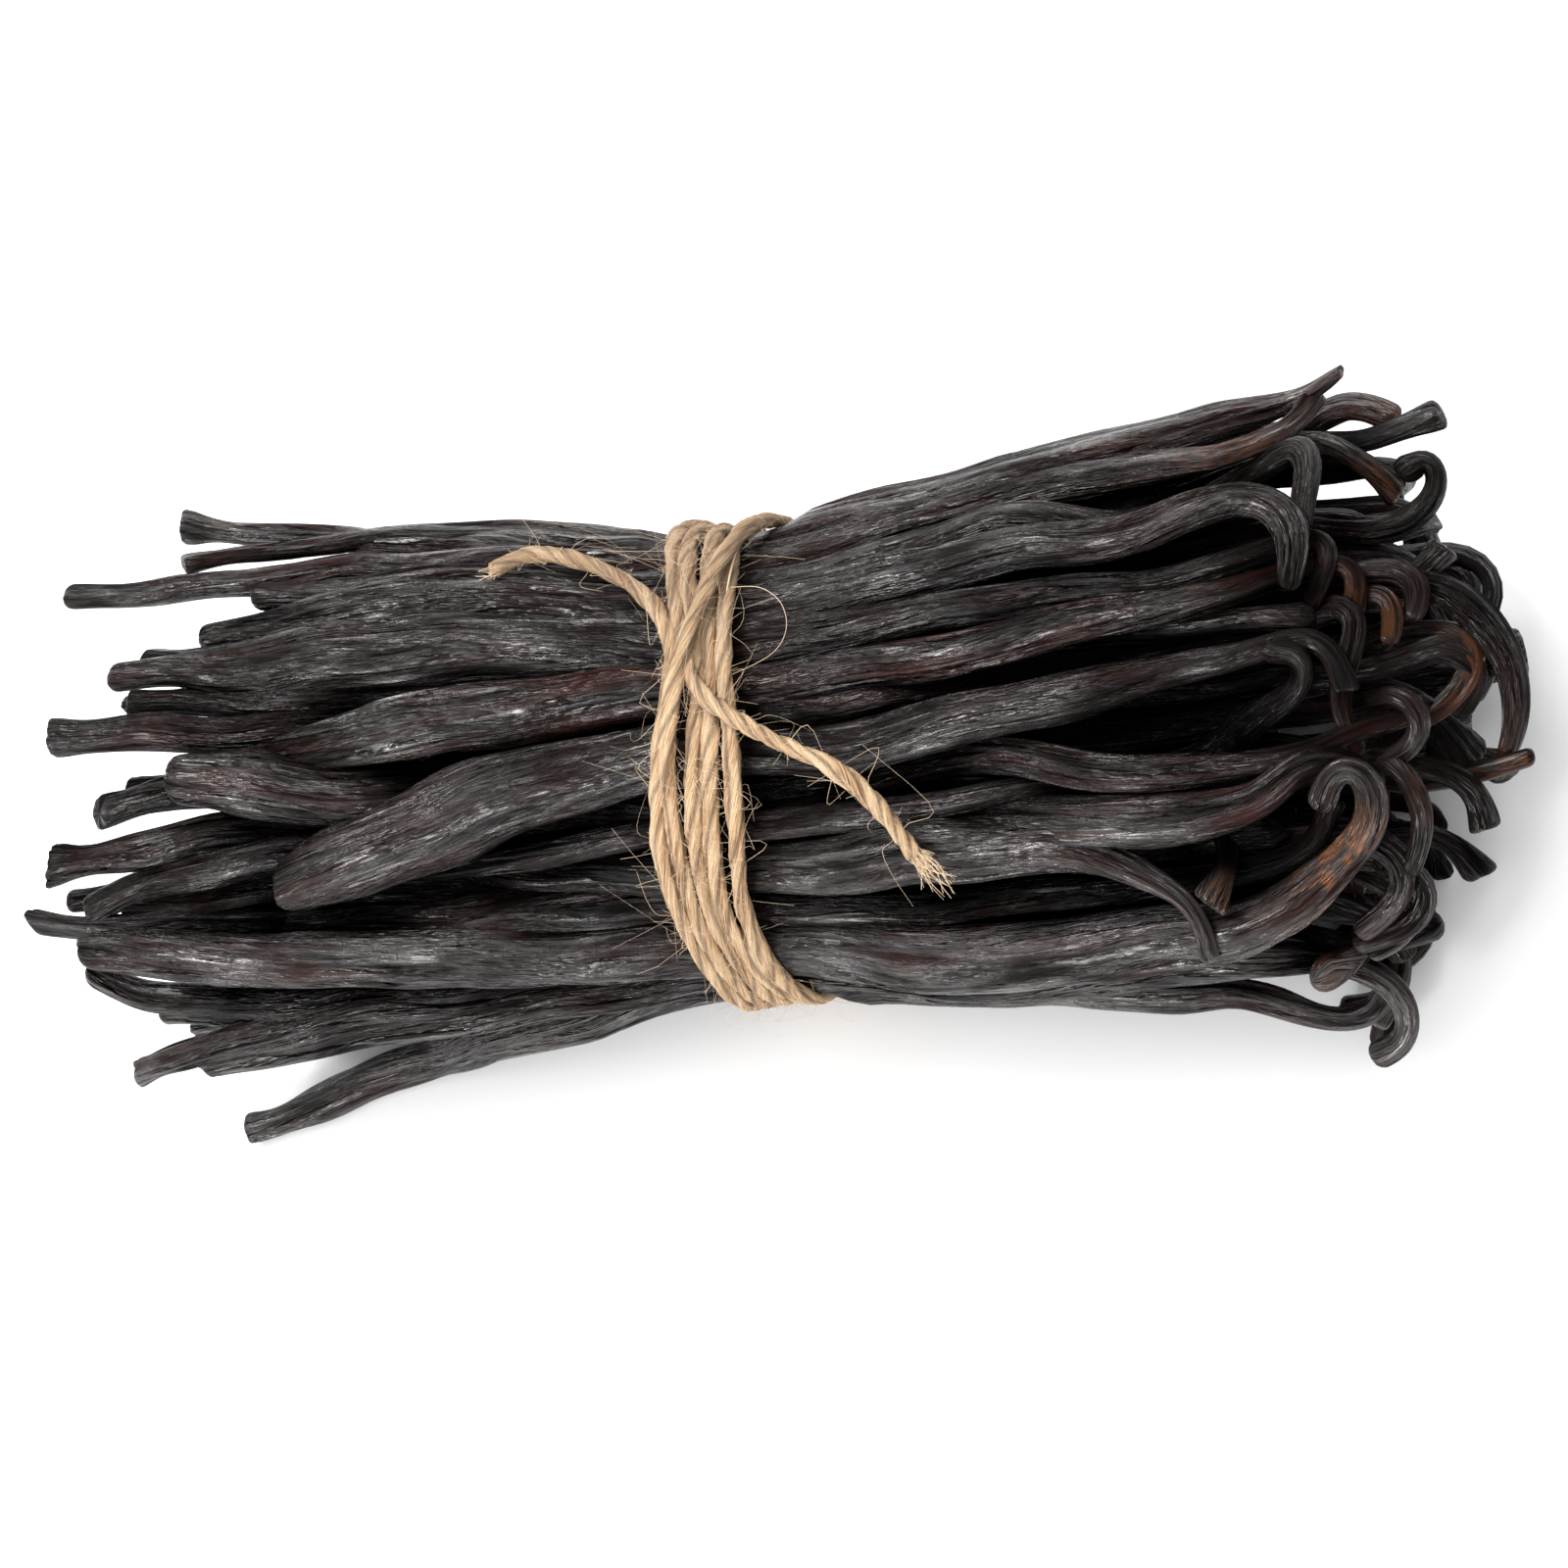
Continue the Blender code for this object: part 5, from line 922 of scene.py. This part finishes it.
def tube_mesh(name, rings, poles, marks, angle, breadth, skin=None):
    """One mesh of many closed tubes: quads between neighbouring rings, and fans of
    triangles to the two poles.  Its UV map holds millimetres along and round, the
    last as the angle from the outer side by the breadth at each ring."""
    tubes, count, points, _ = rings.shape
    verts = np.concatenate((rings.reshape(-1, 3), poles.reshape(-1, 3))) * MM
    grid = np.arange(tubes * count * points).reshape(tubes, count, points)
    ahead = np.roll(grid, -1, axis=2)
    quads = np.stack((grid[:, :-1], ahead[:, :-1], ahead[:, 1:], grid[:, 1:]), -1).reshape(-1, 4)
    pole = tubes * count * points + np.arange(tubes * 2).reshape(tubes, 2)
    first = np.stack((np.broadcast_to(pole[:, :1], (tubes, points)), ahead[:, 0], grid[:, 0]), -1)
    last = np.stack((np.broadcast_to(pole[:, 1:], (tubes, points)), grid[:, -1], ahead[:, -1]), -1)
    fans = np.concatenate((first.reshape(-1, 3), last.reshape(-1, 3)))
    angle = np.append(angle, angle[0] + math.tau)
    u = marks[:, :, None] + np.zeros(points + 1)
    v = angle * breadth[..., None] + 0 * u
    at = np.stack((u, v), -1)
    quad_at = np.stack((at[:, :-1, :-1], at[:, :-1, 1:], at[:, 1:, 1:], at[:, 1:, :-1]), 3).reshape(-1, 2)
    tip_a, tip_b = at[:, 0], at[:, -1]
    middle_a = 0.5 * (tip_a[:, :-1] + tip_a[:, 1:])
    middle_b = 0.5 * (tip_b[:, :-1] + tip_b[:, 1:])
    fan_at = np.concatenate((np.stack((middle_a, tip_a[:, 1:], tip_a[:, :-1]), 2).reshape(-1, 2),
                             np.stack((middle_b, tip_b[:, :-1], tip_b[:, 1:]), 2).reshape(-1, 2)))
    mesh = bpy.data.meshes.new(name)
    corners = np.concatenate((quads.ravel(), fans.ravel()))
    starts = np.concatenate((np.arange(len(quads)) * 4, len(quads) * 4 + np.arange(len(fans)) * 3))
    mesh.vertices.add(len(verts))
    mesh.vertices.foreach_set("co", verts.astype(np.float32).ravel())
    mesh.loops.add(len(corners))
    mesh.loops.foreach_set("vertex_index", corners.astype(np.int32))
    mesh.polygons.add(len(starts))
    mesh.polygons.foreach_set("loop_start", starts.astype(np.int32))
    mesh.update(calc_edges=True)
    mesh.polygons.foreach_set("use_smooth", np.ones(len(starts), bool))
    layer = mesh.uv_layers.new(name="lengthwise")
    layer.uv.foreach_set("vector", np.concatenate((quad_at, fan_at)).astype(np.float32).ravel())
    if skin is not None:
        tint = np.concatenate((skin.reshape(-1, 5), skin[:, (0, -1), 0].reshape(-1, 5)))
        mesh.attributes.new("skin", "FLOAT_COLOR", "POINT")
        mesh.attributes["skin"].data.foreach_set("color", tint[:, :4].astype(np.float32).ravel())
        mesh.attributes.new("shade", "FLOAT", "POINT")
        mesh.attributes["shade"].data.foreach_set("value", tint[:, 4].astype(np.float32).copy())
    return placed(name, mesh)


def on_bundle(piece, look, slot, *nodes):
    """Gives the piece its material, lets it ride on the bundle and hides the parts it takes the place of;
    the slot it is given is not used.
    """
    piece.data.materials.append(look)
    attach(piece, "root")
    if nodes:
        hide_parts(*nodes)
    return piece


# ---- the pods ----

def skin_tints(rng, marks, half, rings, looks):
    """Red-brown, painted grey sheen, orange wear, wrinkling and painted shade at (pod, ring,
    point): the tints are the pod's own shares varied slowly along it, the wear a Gaussian
    patch near the stalk's end, the wrinkling weaker on thin stalks, and the painted shade
    deeper the further the point lies under the bundle's surface."""
    red, grey_sheen, worn, place = (np.array(column)[:, None] for column in zip(*looks))
    from_end = marks[:, -1:] - marks
    red = red * (0.5 + 0.4 * ripple(rng, marks, (47, 19)))
    grey_sheen = grey_sheen * (0.8 + 0.4 * ripple(rng, marks, (60, 25)))
    worn = worn * np.exp(-((from_end - place) / WEAR_SPREAD) ** 2)
    wrinkling = np.clip((half - 1.1) / (STALK_HALF - 1.1), 0.3, 1.0)
    rows = np.clip(np.stack((red, grey_sheen, worn, wrinkling), -1), 0, 1)
    rows = np.repeat(rows[:, :, None], rings.shape[2], axis=2)
    x, under = under_surface(rings)
    shade = np.clip((under - SHADE_FROM) / SHADE_OVER, 0, 1)
    shade = shade * np.interp(x, SHADE_X, (SHADE_ENDS, 1, 1, SHADE_ENDS))
    return np.concatenate((rows, DARKEST * shade[..., None]), -1)


def held_in(points):
    """The points where the twine goes round, pressed in under it: what stands out past
    the held share of the ellipse keeps only a small part of that."""
    p = from_world(points)
    _, reach = section_reach(p)
    past = np.maximum(reach - np.interp(p[..., 0], HELD_X, HELD_AT), 0)
    p[..., 1:] *= (1 - (1 - HELD_KEEPS) * past / np.maximum(reach, 0.1))[..., None]
    return to_world(p)


def make_pods(look):
    """The outer pods on a fine grid and the inner ones on a coarse one, a few to a piece."""
    rng = np.random.default_rng(POD_SEED)
    routes = place_pods()
    outer = len(LAID_PODS)
    names = list(LAID_PODS)
    plans = (
        ("pods_outer", routes[:outer], OUTER_GRID, OUTER_WRINKLES, PODS_A_PIECE),
        ("pods_inner", routes[outer:], INNER_GRID, INNER_WRINKLES, INNER_A_PIECE),
    )
    replaced = ("pods",)
    for name, group, grid, wrinkles, share in plans:
        smooth = [even_path(path, half, grid[0]) for path, half in group]
        local = np.stack([path for path, _ in smooth])
        halves = np.stack([half for _, half in smooth])
        halves = halves * np.interp(halves, BROAD_FROM, (LEAST_BROADER, BROADER))
        if name == "pods_outer":
            tips = [POD_LOOKS[pod][:2] for pod in names]
            tints = [POD_LOOKS[pod][2:] for pod in names]
        else:
            ends = rng.choice(INNER_ENDS, (len(group), 2))
            tips = [tuple(str(end) for end in pair) for pair in ends]
            tints = rng.uniform(*INNER_TINT, (len(group), 4))
        out = unit(outward(local[:, grid[0] // 3]) + FACING * turned(np.array((0.0, 0.0, 1.0))))
        rings, poles, marks, angle, half = pod_rings(rng, to_world(local), halves, out, tips, grid,
                                                     wrinkles)
        rings = held_in(rings)
        skin = skin_tints(rng, marks, half, rings, tints)
        marks = marks + SKIN_APART * np.arange(len(group))[:, None]
        breadth = 0.9 * half
        for k, start in enumerate(range(0, len(group), share)):
            some = slice(start, start + share)
            piece = tube_mesh("%s_%d" % (name, k + 1), rings[some], poles[some], marks[some], angle,
                              breadth[some], skin[some])
            on_bundle(piece, look, "pod", *replaced)
            replaced = ()


def make_core(look):
    """A plain dark tube inside the pods that keeps light from passing through them."""
    x = np.linspace(CORE_X[0], CORE_X[-1], CORE_GRID[0])
    inset = np.interp(x, CORE_X, CORE_INSET)
    angle = around(CORE_GRID[1], 0.0)
    half = section_half(x) - inset
    high = FLATNESS * section_half(x) - inset
    s = half[:, None] * np.cos(angle)
    t = high[:, None] * np.sin(angle)
    # the ellipse is drawn the other way round, so that the faces point outwards
    local = np.stack((x[:, None] + 0 * s, s[:, ::-1], t[:, ::-1]), -1)[::-1]
    rings = to_world(local)[None]
    poles = to_world(np.array([[(x[-1] + 1, 0, 0), (x[0] - 1, 0, 0)]]))
    marks = np.zeros((1, len(x)))
    skin = np.ones((1, len(x), len(angle), 5))
    core = tube_mesh("pods_core", rings, poles, marks, angle, np.ones((1, 1)), skin)
    return on_bundle(core, look, "pod")


# ---- the twine ----

def twine_route():
    """The whole twine from the left end's tip, round the waist, to the right end's."""
    return np.concatenate((end_route(LEFT_END)[::-1], winding_route(), end_route(RIGHT_END)))


def bundle_outward(points):
    """The ellipse's outward direction at points of the row frame."""
    return outward(from_world(points))


def make_twine(look):
    """A tube whose section is three plies turning as it goes,
    r = R (1 - D + D |cos 1.5 (v - twist)|^0.7), with R looser towards the right end and
    the plies pressed together over the top of the bundle."""
    rng = np.random.default_rng(TWINE_SEED)
    line = smooth_line(twine_route(), TWINE_STEP, SMOOTHING_PASSES)
    run = distance_along(line)
    along = unit(np.gradient(line, axis=0))
    up = bundle_outward(line)
    top = np.clip(1.6 * up[:, 1] + 0.9 * up[:, 2] - 0.5, 0, 1)[:, None]
    up = unit(up - (up * along).sum(-1, keepdims=True) * along)
    side = np.cross(along, up)
    angle = around(PLY_POINTS, 0.0)
    free_left = distance_along(end_route(LEFT_END))[-1]
    free_right = distance_along(end_route(RIGHT_END))[-1]
    wound = np.clip((run - free_left) / 6, 0, 1) * np.clip((run[-1] - free_right - run) / 6, 0, 1)
    loose = np.clip((run - run[-1] + free_right) / 20, 0, 1)
    radius = 0.87 + 0.05 * loose + 0.16 * ripple(rng, run[None], (31, 13, 7))[0]
    radius = 0.5 * TWINE_DIAMETER * radius
    pitch = PLY_PITCH * (1 + 1.1 * wound)
    lay = np.cumsum(np.gradient(run) * math.tau / pitch)
    lay += 1.8 * ripple(rng, run[None], (61, 37, 19))[0]
    turn = angle - lay[:, None]
    plump = np.abs(np.cos(1.5 * turn)) ** 0.7
    uneven = 1 + 0.4 * ripple(rng, run[None], (27, 11))[0][:, None]
    depth = PLY_DEPTH * (1 - 0.5 * wound[:, None]) * (1 - 0.7 * top) * uneven
    ply = 1 - depth * (1 - plump)
    ply += 0.05 * np.sin(9 * turn + 8 * ripple(rng, run[None], (17, 7))[0][:, None])
    ply += 0.04 * np.sin(5 * turn + 12 * ripple(rng, run[None], (11, 5, 3))[0][:, None])
    tall = radius * (1 - 0.10 * wound)
    broad = radius * (1 + 0.04 * wound)
    section = (tall[:, None] * ply * np.cos(angle))[..., None] * up[:, None]
    section = section + (broad[:, None] * ply * np.sin(angle))[..., None] * side[:, None]
    rings = (line[:, None] + section)[None]
    rings[..., 2] = np.maximum(rings[..., 2], FLOOR_CLEAR)
    poles = np.stack((line[0] - 0.3 * along[0], line[-1] + 0.3 * along[-1]))[None]
    breadth = np.full((1, len(run)), 0.5 * TWINE_DIAMETER)
    # how plump the ply is, which sets the painted shade in the grooves, how far over the top, and how
    # slowly the plies turn
    slow = 1 - PLY_PITCH / pitch[:, None]
    shares = np.stack((plump, top + 0 * plump, slow + 0 * plump, 0 * plump, 0 * plump), -1)[None]
    twine = tube_mesh("twine", rings, poles, run[None], angle, breadth, shares)
    on_bundle(twine, look, "twine", "twine_winding", "twine_end_left", "twine_end_right")
    return twine, line, run, along, up, side


def fibres(name, roots, heads, bends, lengths, thick, look, points=9):
    """Thin bent tubes: each runs from its root along its head and swings towards its bend
    and back, p(q) = root + length (q head + 0.5 q sin(4.2 q) bend), and is kept off the pods."""
    q = np.linspace(0, 1, points)[None, :, None]
    turned_by = 0.5 * q * np.sin(4.2 * q) * bends[:, None]
    line = roots[:, None] + lengths[:, None, None] * (q * heads[:, None] + turned_by)
    line = off_the_pods(line)
    return bent_tubes(name, line, thick, look)


def off_the_pods(line):
    """The points moved out to just over the bundle's ellipse and the floor, and those far
    out brought nearer, from o over the ellipse to F tanh(o / F), as hairs cling."""
    p = from_world(line)
    half, reach = section_reach(p)
    over = FUZZ_REACH * np.tanh(np.maximum(reach - 1.0, 0.0) * half / FUZZ_REACH)
    p[..., 1:] *= ((1.0 + over / half) / np.maximum(reach, 0.3))[..., None]
    line = to_world(p)
    line[..., 2] = np.maximum(line[..., 2], 0.2)
    return line


def bent_tubes(name, line, thick, look):
    """Four-sided tubes along rows of points, thinner towards their tips."""
    _, up, side = carried_frames(line, bundle_outward(line[:, line.shape[1] // 3]))
    angle = around(4, 0.0)
    fall = thick[:, None] * np.linspace(1.0, 0.45, line.shape[1])
    ring = np.cos(angle)[:, None] * up[:, :, None] + np.sin(angle)[:, None] * side[:, :, None]
    rings = line[:, :, None] + fall[:, :, None, None] * ring
    poles = np.stack((line[:, 0], line[:, -1]), 1)
    marks = np.stack([distance_along(row) for row in line])
    made = tube_mesh(name, rings, poles, marks, angle, thick[:, None])
    return on_bundle(made, look, "twine")


def make_fuzz(line, along, up, side, look):
    """Stray hairs all along the twine, one long looped one and a flat pale one, and the
    frayed fibres of its two ends."""
    rng = np.random.default_rng(FUZZ_SEED)
    at = rng.integers(4, len(line) - 4, HAIRS)
    turn = rng.uniform(0, math.tau, HAIRS)
    out = np.cos(turn)[:, None] * up[at] + np.sin(turn)[:, None] * side[at]
    out = out + 0.5 * up[at]
    roots = line[at] + 0.40 * TWINE_DIAMETER * unit(out)
    way = rng.choice((-1, 1), HAIRS)[:, None] * along[at]
    heads = way * rng.uniform(0.3, 1.4, (HAIRS, 1)) + 0.45 * unit(out)
    heads = unit(heads + rng.normal(0, 0.35, (HAIRS, 3)))
    bends = rng.normal(0, 1.2, (HAIRS, 3)) - 0.5 * up[at]
    # most hairs are short, and those under the bundle are shorter still
    lengths = 0.8 + 7.5 * rng.uniform(0, 1, HAIRS) ** 3.2 * np.where(up[at, 2] < -0.2, 0.3, 1.0)
    thick = rng.uniform(0.016, 0.034, HAIRS)
    made = [fibres("twine_hairs", roots, heads, bends, lengths, thick, look)]
    for name, points, thick in SINGLE_FIBRES:
        curve = smooth_line(end_route(points), 0.4, 30)
        made.append(bent_tubes(name, curve[None], np.array([thick]), look))
    for name, end, sign, count, reach, spread in FRAYS:
        bunch = rng.integers(0, 4, count)
        lean = rng.normal(0, spread, (4, 2))[bunch]
        across = rng.normal(0, 0.33, (count, 2))
        roots = line[end] + across[:, :1] * up[end] + across[:, 1:] * side[end]
        roots = roots - sign * 1.2 * along[end]
        heads = sign * along[end] + lean[:, :1] * up[end] * 0.4 + lean[:, 1:] * side[end]
        heads = unit(heads + rng.normal(0, 0.10, (count, 3)))
        bends = rng.normal(0, 0.22, (count, 3)) - 0.1 * up[end]
        lengths = reach * (0.3 + 0.7 * rng.uniform(0, 1, count) ** 1.8)
        thick = rng.uniform(0.03, 0.085, count)
        made.append(fibres(name, roots, heads, bends, lengths, thick, look))
    return made


# ---- materials ----

class Shader:
    """A material's node tree, with short ways to add and join its nodes."""

    def __init__(self, name):
        """A new material with its own nodes and a surface to finish."""
        self.material = bpy.data.materials.new(name)
        self.material.use_nodes = True
        self.tree = self.material.node_tree
        self.surface = self.tree.nodes["Principled BSDF"]

    def add(self, kind, inputs=None, **settings):
        """A node with its settings, and its inputs set to values or joined to outputs."""
        made = self.tree.nodes.new("ShaderNode" + kind)
        for key, value in settings.items():
            setattr(made, key, value)
        for key, value in (inputs or {}).items():
            self.put(made.inputs[key], value)
        return made

    def put(self, socket, value):
        """Sets an input to a value, or joins it to an output."""
        if isinstance(value, bpy.types.NodeSocket):
            self.tree.links.new(value, socket)
        else:
            socket.default_value = value

    def streaks(self, place, scale, detail=3.0, roughness=0.55, offset=0.0):
        """Noise stretched by a scale for each direction of the place it reads."""
        moved = self.add("Mapping", {"Vector": place, "Scale": scale, "Location": (offset, offset, 0.0)})
        noise = self.add("TexNoise", {"Vector": moved.outputs[0], "Scale": 1.0, "Detail": detail,
                                      "Roughness": roughness})
        return noise.outputs["Fac"]

    def ramp(self, value, stops):
        """The value turned to a colour or grey by stops of (place, colour)."""
        made = self.add("ValToRGB", {"Fac": value})
        elements = made.color_ramp.elements
        for element, (place, colour) in zip(elements, (stops[0], stops[-1])):
            element.position = place
            element.color = colour
        for place, colour in stops[1:-1]:
            elements.new(place).color = colour
        return made.outputs["Color"]

    def range(self, value, low, high, to_low, to_high):
        """The value brought from one range to another and kept inside it."""
        made = self.add("MapRange", {0: value, 1: low, 2: high, 3: to_low, 4: to_high})
        return made.outputs[0]

    def times(self, a, b):
        """One value times another."""
        return self.add("Math", {0: a, 1: b}, operation="MULTIPLY").outputs[0]

    def plus(self, a, b):
        """One value plus another."""
        return self.add("Math", {0: a, 1: b}, operation="ADD").outputs[0]

    def mix(self, share, a, b):
        """The first colour turned towards the second by a share."""
        made = self.add("Mix", data_type="RGBA")
        self.put(made.inputs[0], share)
        self.put(made.inputs[6], a)
        self.put(made.inputs[7], b)
        return made.outputs[2]

    def bump(self, height, strength, distance, before=None):
        """A normal raised by a height, on top of another normal if one is given."""
        made = self.add("Bump", {"Height": height, "Strength": strength, "Distance": distance})
        if before is not None:
            self.put(made.inputs["Normal"], before)
        return made.outputs[0]

    def finish(self, **sockets):
        """Sets the surface from the given values, and gives back the material."""
        for key, value in sockets.items():
            self.put(self.surface.inputs[key.replace("_", " ")], value)
        return self.material


# The pods' colours: the skin's ramp from creases to ridges, and what it turns towards.
SKIN_STOPS = ((0.38, (0.0018, 0.0013, 0.0011, 1)), (0.54, (0.0125, 0.0096, 0.0085, 1)),
              (0.70, (0.038, 0.030, 0.026, 1)))
RED_BROWN = (0.050, 0.0145, 0.0118, 1)
# a painted sheen, laid on the skin as a grey tint
GREY_SHEEN = (0.058, 0.053, 0.052, 1)
WORN_ORANGE = (0.17, 0.058, 0.018, 1)
# painted shade turns the skin towards this black
BLACK = (0.0, 0.0, 0.0, 1)
# the core's near-black, painted shade for the depths between the pods
CORE_BLACK = (0.004, 0.003, 0.003, 1)

# The twine's colours: its fibres' ramp, the painted shade in its grooves, and where it lies over the top.
JUTE_STOPS = ((0.39, (0.19, 0.083, 0.028, 1)), (0.48, (0.72, 0.435, 0.222, 1)),
              (0.58, (0.99, 0.74, 0.46, 1)))
JUTE_GROOVE_SHADE = (0.11, 0.048, 0.018, 1)
JUTE_MATTED = (0.20, 0.125, 0.075, 1)
PALE_FIBRE = (0.66, 0.50, 0.34, 1)
FLOOR_WHITE = (0.9, 0.9, 0.9, 1)


def pod_skin():
    """Near-black brown skin: streaks along the pod in its colour, sheen and bump, painted grey
    sheen, and painted shade, darker and duller the deeper it lies under the bundle's surface."""
    skin = Shader("pod_skin")
    place = skin.add("UVMap", uv_map="lengthwise").outputs[0]
    data = skin.add("Attribute", attribute_name="skin")
    tint = skin.add("SeparateColor", {0: data.outputs["Color"]})
    wrinkling = data.outputs["Alpha"]
    broad = skin.streaks(place, (0.035, 0.40, 1.0), detail=2.0)
    fine = skin.streaks(place, (0.085, 0.85, 1.0), detail=3.0, roughness=0.6, offset=7.0)
    grain = skin.streaks(place, (0.5, 2.2, 1.0), detail=3.0, roughness=0.6, offset=19.0)
    blotch = skin.streaks(place, (0.07, 0.20, 1.0), detail=4.0, roughness=0.6, offset=3.0)
    colour = skin.ramp(fine, SKIN_STOPS)
    red = skin.times(tint.outputs[0], skin.range(broad, 0.42, 0.62, 0.0, 1.0))
    colour = skin.mix(red, colour, RED_BROWN)
    # painted sheen: a grey tint laid on in blotches, as much as each pod's share
    grey_sheen = skin.times(tint.outputs[1], skin.range(blotch, 0.40, 0.62, 0.0, 1.0))
    colour = skin.mix(skin.times(grey_sheen, 0.7), colour, GREY_SHEEN)
    spots = skin.plus(skin.times(blotch, 0.6), skin.times(grain, 0.4))
    worn = skin.times(tint.outputs[2], skin.range(spots, 0.48, 0.55, 0.0, 1.0))
    colour = skin.mix(worn, colour, WORN_ORANGE)
    wax = skin.plus(skin.times(fine, 0.5), skin.times(blotch, 0.5))
    rough = skin.range(wax, 0.42, 0.60, 0.52, 0.17)
    crease = skin.add("Math", {0: skin.plus(fine, -0.5)}, operation="ABSOLUTE").outputs[0]
    crease = skin.range(crease, 0.0, 0.10, 0.0, 1.0)
    ridge = skin.add("Math", {0: skin.plus(broad, -0.5)}, operation="ABSOLUTE").outputs[0]
    ridge = skin.range(ridge, 0.0, 0.14, 0.0, 1.0)
    normal = skin.bump(ridge, wrinkling, 0.0006)
    normal = skin.bump(crease, wrinkling, 0.00042, normal)
    normal = skin.bump(grain, skin.times(wrinkling, 0.7), 0.0002, normal)
    # painted shade: the skin darker and less shiny the deeper it lies under the bundle's surface
    shade = skin.add("Attribute", attribute_name="shade").outputs["Fac"]
    colour = skin.mix(shade, colour, BLACK)
    lit = skin.range(shade, 0.0, 1.0, 1.0, 0.0)
    shine = skin.times(skin.range(wax, 0.40, 0.56, 0.12, 0.7), lit)
    return skin.finish(Base_Color=colour, Roughness=rough, Normal=normal, Specular_IOR_Level=shine)


def jute():
    """Tan matt fibres that wind with the plies, with painted shade in the grooves between these,
    and browner and matted together over the top of the bundle."""
    look = Shader("jute")
    at = look.add("SeparateXYZ", {0: look.add("UVMap", uv_map="lengthwise").outputs[0]})
    share = look.add("SeparateColor", {0: look.add("Attribute", attribute_name="skin").outputs["Color"]})
    both = []
    for slope in (PLY_SLOPE, PLY_SLOPE_WOUND):
        round_it = look.plus(at.outputs[1], look.times(at.outputs[0], -slope))
        place = look.add("CombineXYZ", {0: at.outputs[0], 1: round_it}).outputs[0]
        both.append(look.streaks(place, (0.25, 5.0, 1.0), detail=4.0, roughness=0.75))
    wound = look.range(share.outputs[2], 0.1, 0.45, 0.0, 1.0)
    fibre = look.add("Mix", {0: wound, 2: both[0], 3: both[1]}).outputs[0]
    slow = look.streaks(place, (0.09, 0.5, 1.0), detail=3.0, offset=11.0)
    value = look.plus(look.times(fibre, 0.65), look.times(slow, 0.35))
    colour = look.ramp(value, JUTE_STOPS)
    # painted shade: darker where the ply is thin, in the grooves between the plies
    deep = look.range(share.outputs[0], 0.2, 0.75, 0.7, 0.0)
    colour = look.mix(deep, colour, JUTE_GROOVE_SHADE)
    colour = look.mix(look.times(share.outputs[1], 0.35), colour, JUTE_MATTED)
    normal = look.bump(fibre, 1.0, 0.0009)
    return look.finish(Base_Color=colour, Roughness=0.85, Normal=normal, Specular_IOR_Level=0.2,
                       Sheen_Weight=0.15, Sheen_Roughness=0.5)


def loose_fibre():
    """The pale matt look of single fibres."""
    look = Shader("loose_fibre")
    return look.finish(Base_Color=PALE_FIBRE, Roughness=0.6, Specular_IOR_Level=0.4)


def inner_dark():
    """The near-black look of the core, painted shade for the depths between the pods."""
    look = Shader("inner_dark")
    return look.finish(Base_Color=CORE_BLACK, Roughness=0.9, Specular_IOR_Level=0.1)


# ---- the floor, the light and the camera ----

def make_floor():
    """A wide white floor."""
    corners = [(a * FLOOR_HALF, b * FLOOR_HALF, 0) for a, b in ((-1, -1), (1, -1), (1, 1), (-1, 1))]
    mesh = bpy.data.meshes.new("floor")
    mesh.from_pydata(corners, [], [(0, 1, 2, 3)])
    floor = placed("floor", mesh)
    white = Shader("floor_white")
    mesh.materials.append(white.finish(Base_Color=FLOOR_WHITE, Roughness=0.9,
                                       Specular_IOR_Level=0.1))


def area_light(name, place, size, power, glint):
    """A square soft light at a place, turned to the bundle, with or without a glint."""
    data = bpy.data.lights.new(name, "AREA")
    data.shape = "SQUARE"
    data.size = size
    data.energy = power
    light = placed(name, data)
    light.location = place
    light.visible_glossy = glint
    light.rotation_euler = (-Vector(place)).to_track_quat("-Z", "Y").to_euler()


def make_light():
    """A white world without a glint of its own, the five lights and plain colours."""
    world = bpy.data.worlds.new("studio")
    bpy.context.scene.world = world
    world.use_nodes = True
    back = world.node_tree.nodes["Background"]
    back.inputs["Color"].default_value = (1.0, 1.0, 1.0, 1.0)
    back.inputs["Strength"].default_value = WORLD_STRENGTH
    world.cycles_visibility.glossy = False
    for light in LIGHTS:
        area_light(*light)
    scene = bpy.context.scene
    scene.view_settings.view_transform = "Standard"
    scene.view_settings.look = "None"


def make_camera():
    """The camera looks down on the bundle from the front and a little from the right."""
    ahead = Vector((1.0, 0.0, 0.0))
    up_out = Vector((0.0, -math.sin(LEAN), math.cos(LEAN)))
    across = Vector((0.0, math.cos(LEAN), math.sin(LEAN)))
    back = (SWING[0] * ahead + SWING[1] * up_out).normalized()
    level = (SWING[1] * ahead - SWING[0] * up_out).normalized()
    right = (math.cos(ROLL) * level - math.sin(ROLL) * across).normalized()
    up = back.cross(right)
    target = to_world(np.array(LOOKED_AT)) * MM
    data = bpy.data.cameras.new("camera")
    data.lens = LENS
    data.sensor_width = SENSOR
    camera = placed("camera", data)
    turn = Matrix((right, up, back)).transposed().to_4x4()
    camera.matrix_world = Matrix.Translation(Vector(target) + CAMERA_DISTANCE * back) @ turn
    bpy.context.scene.camera = camera


# ---- the whole ----

jute_look = jute()
fibre_look = loose_fibre()
twine, line, run, along, up, side = make_twine(jute_look)
fuzz = make_fuzz(line, along, up, side, fibre_look)
make_pods(pod_skin())
make_core(inner_dark())
make_floor()
make_light()
make_camera()
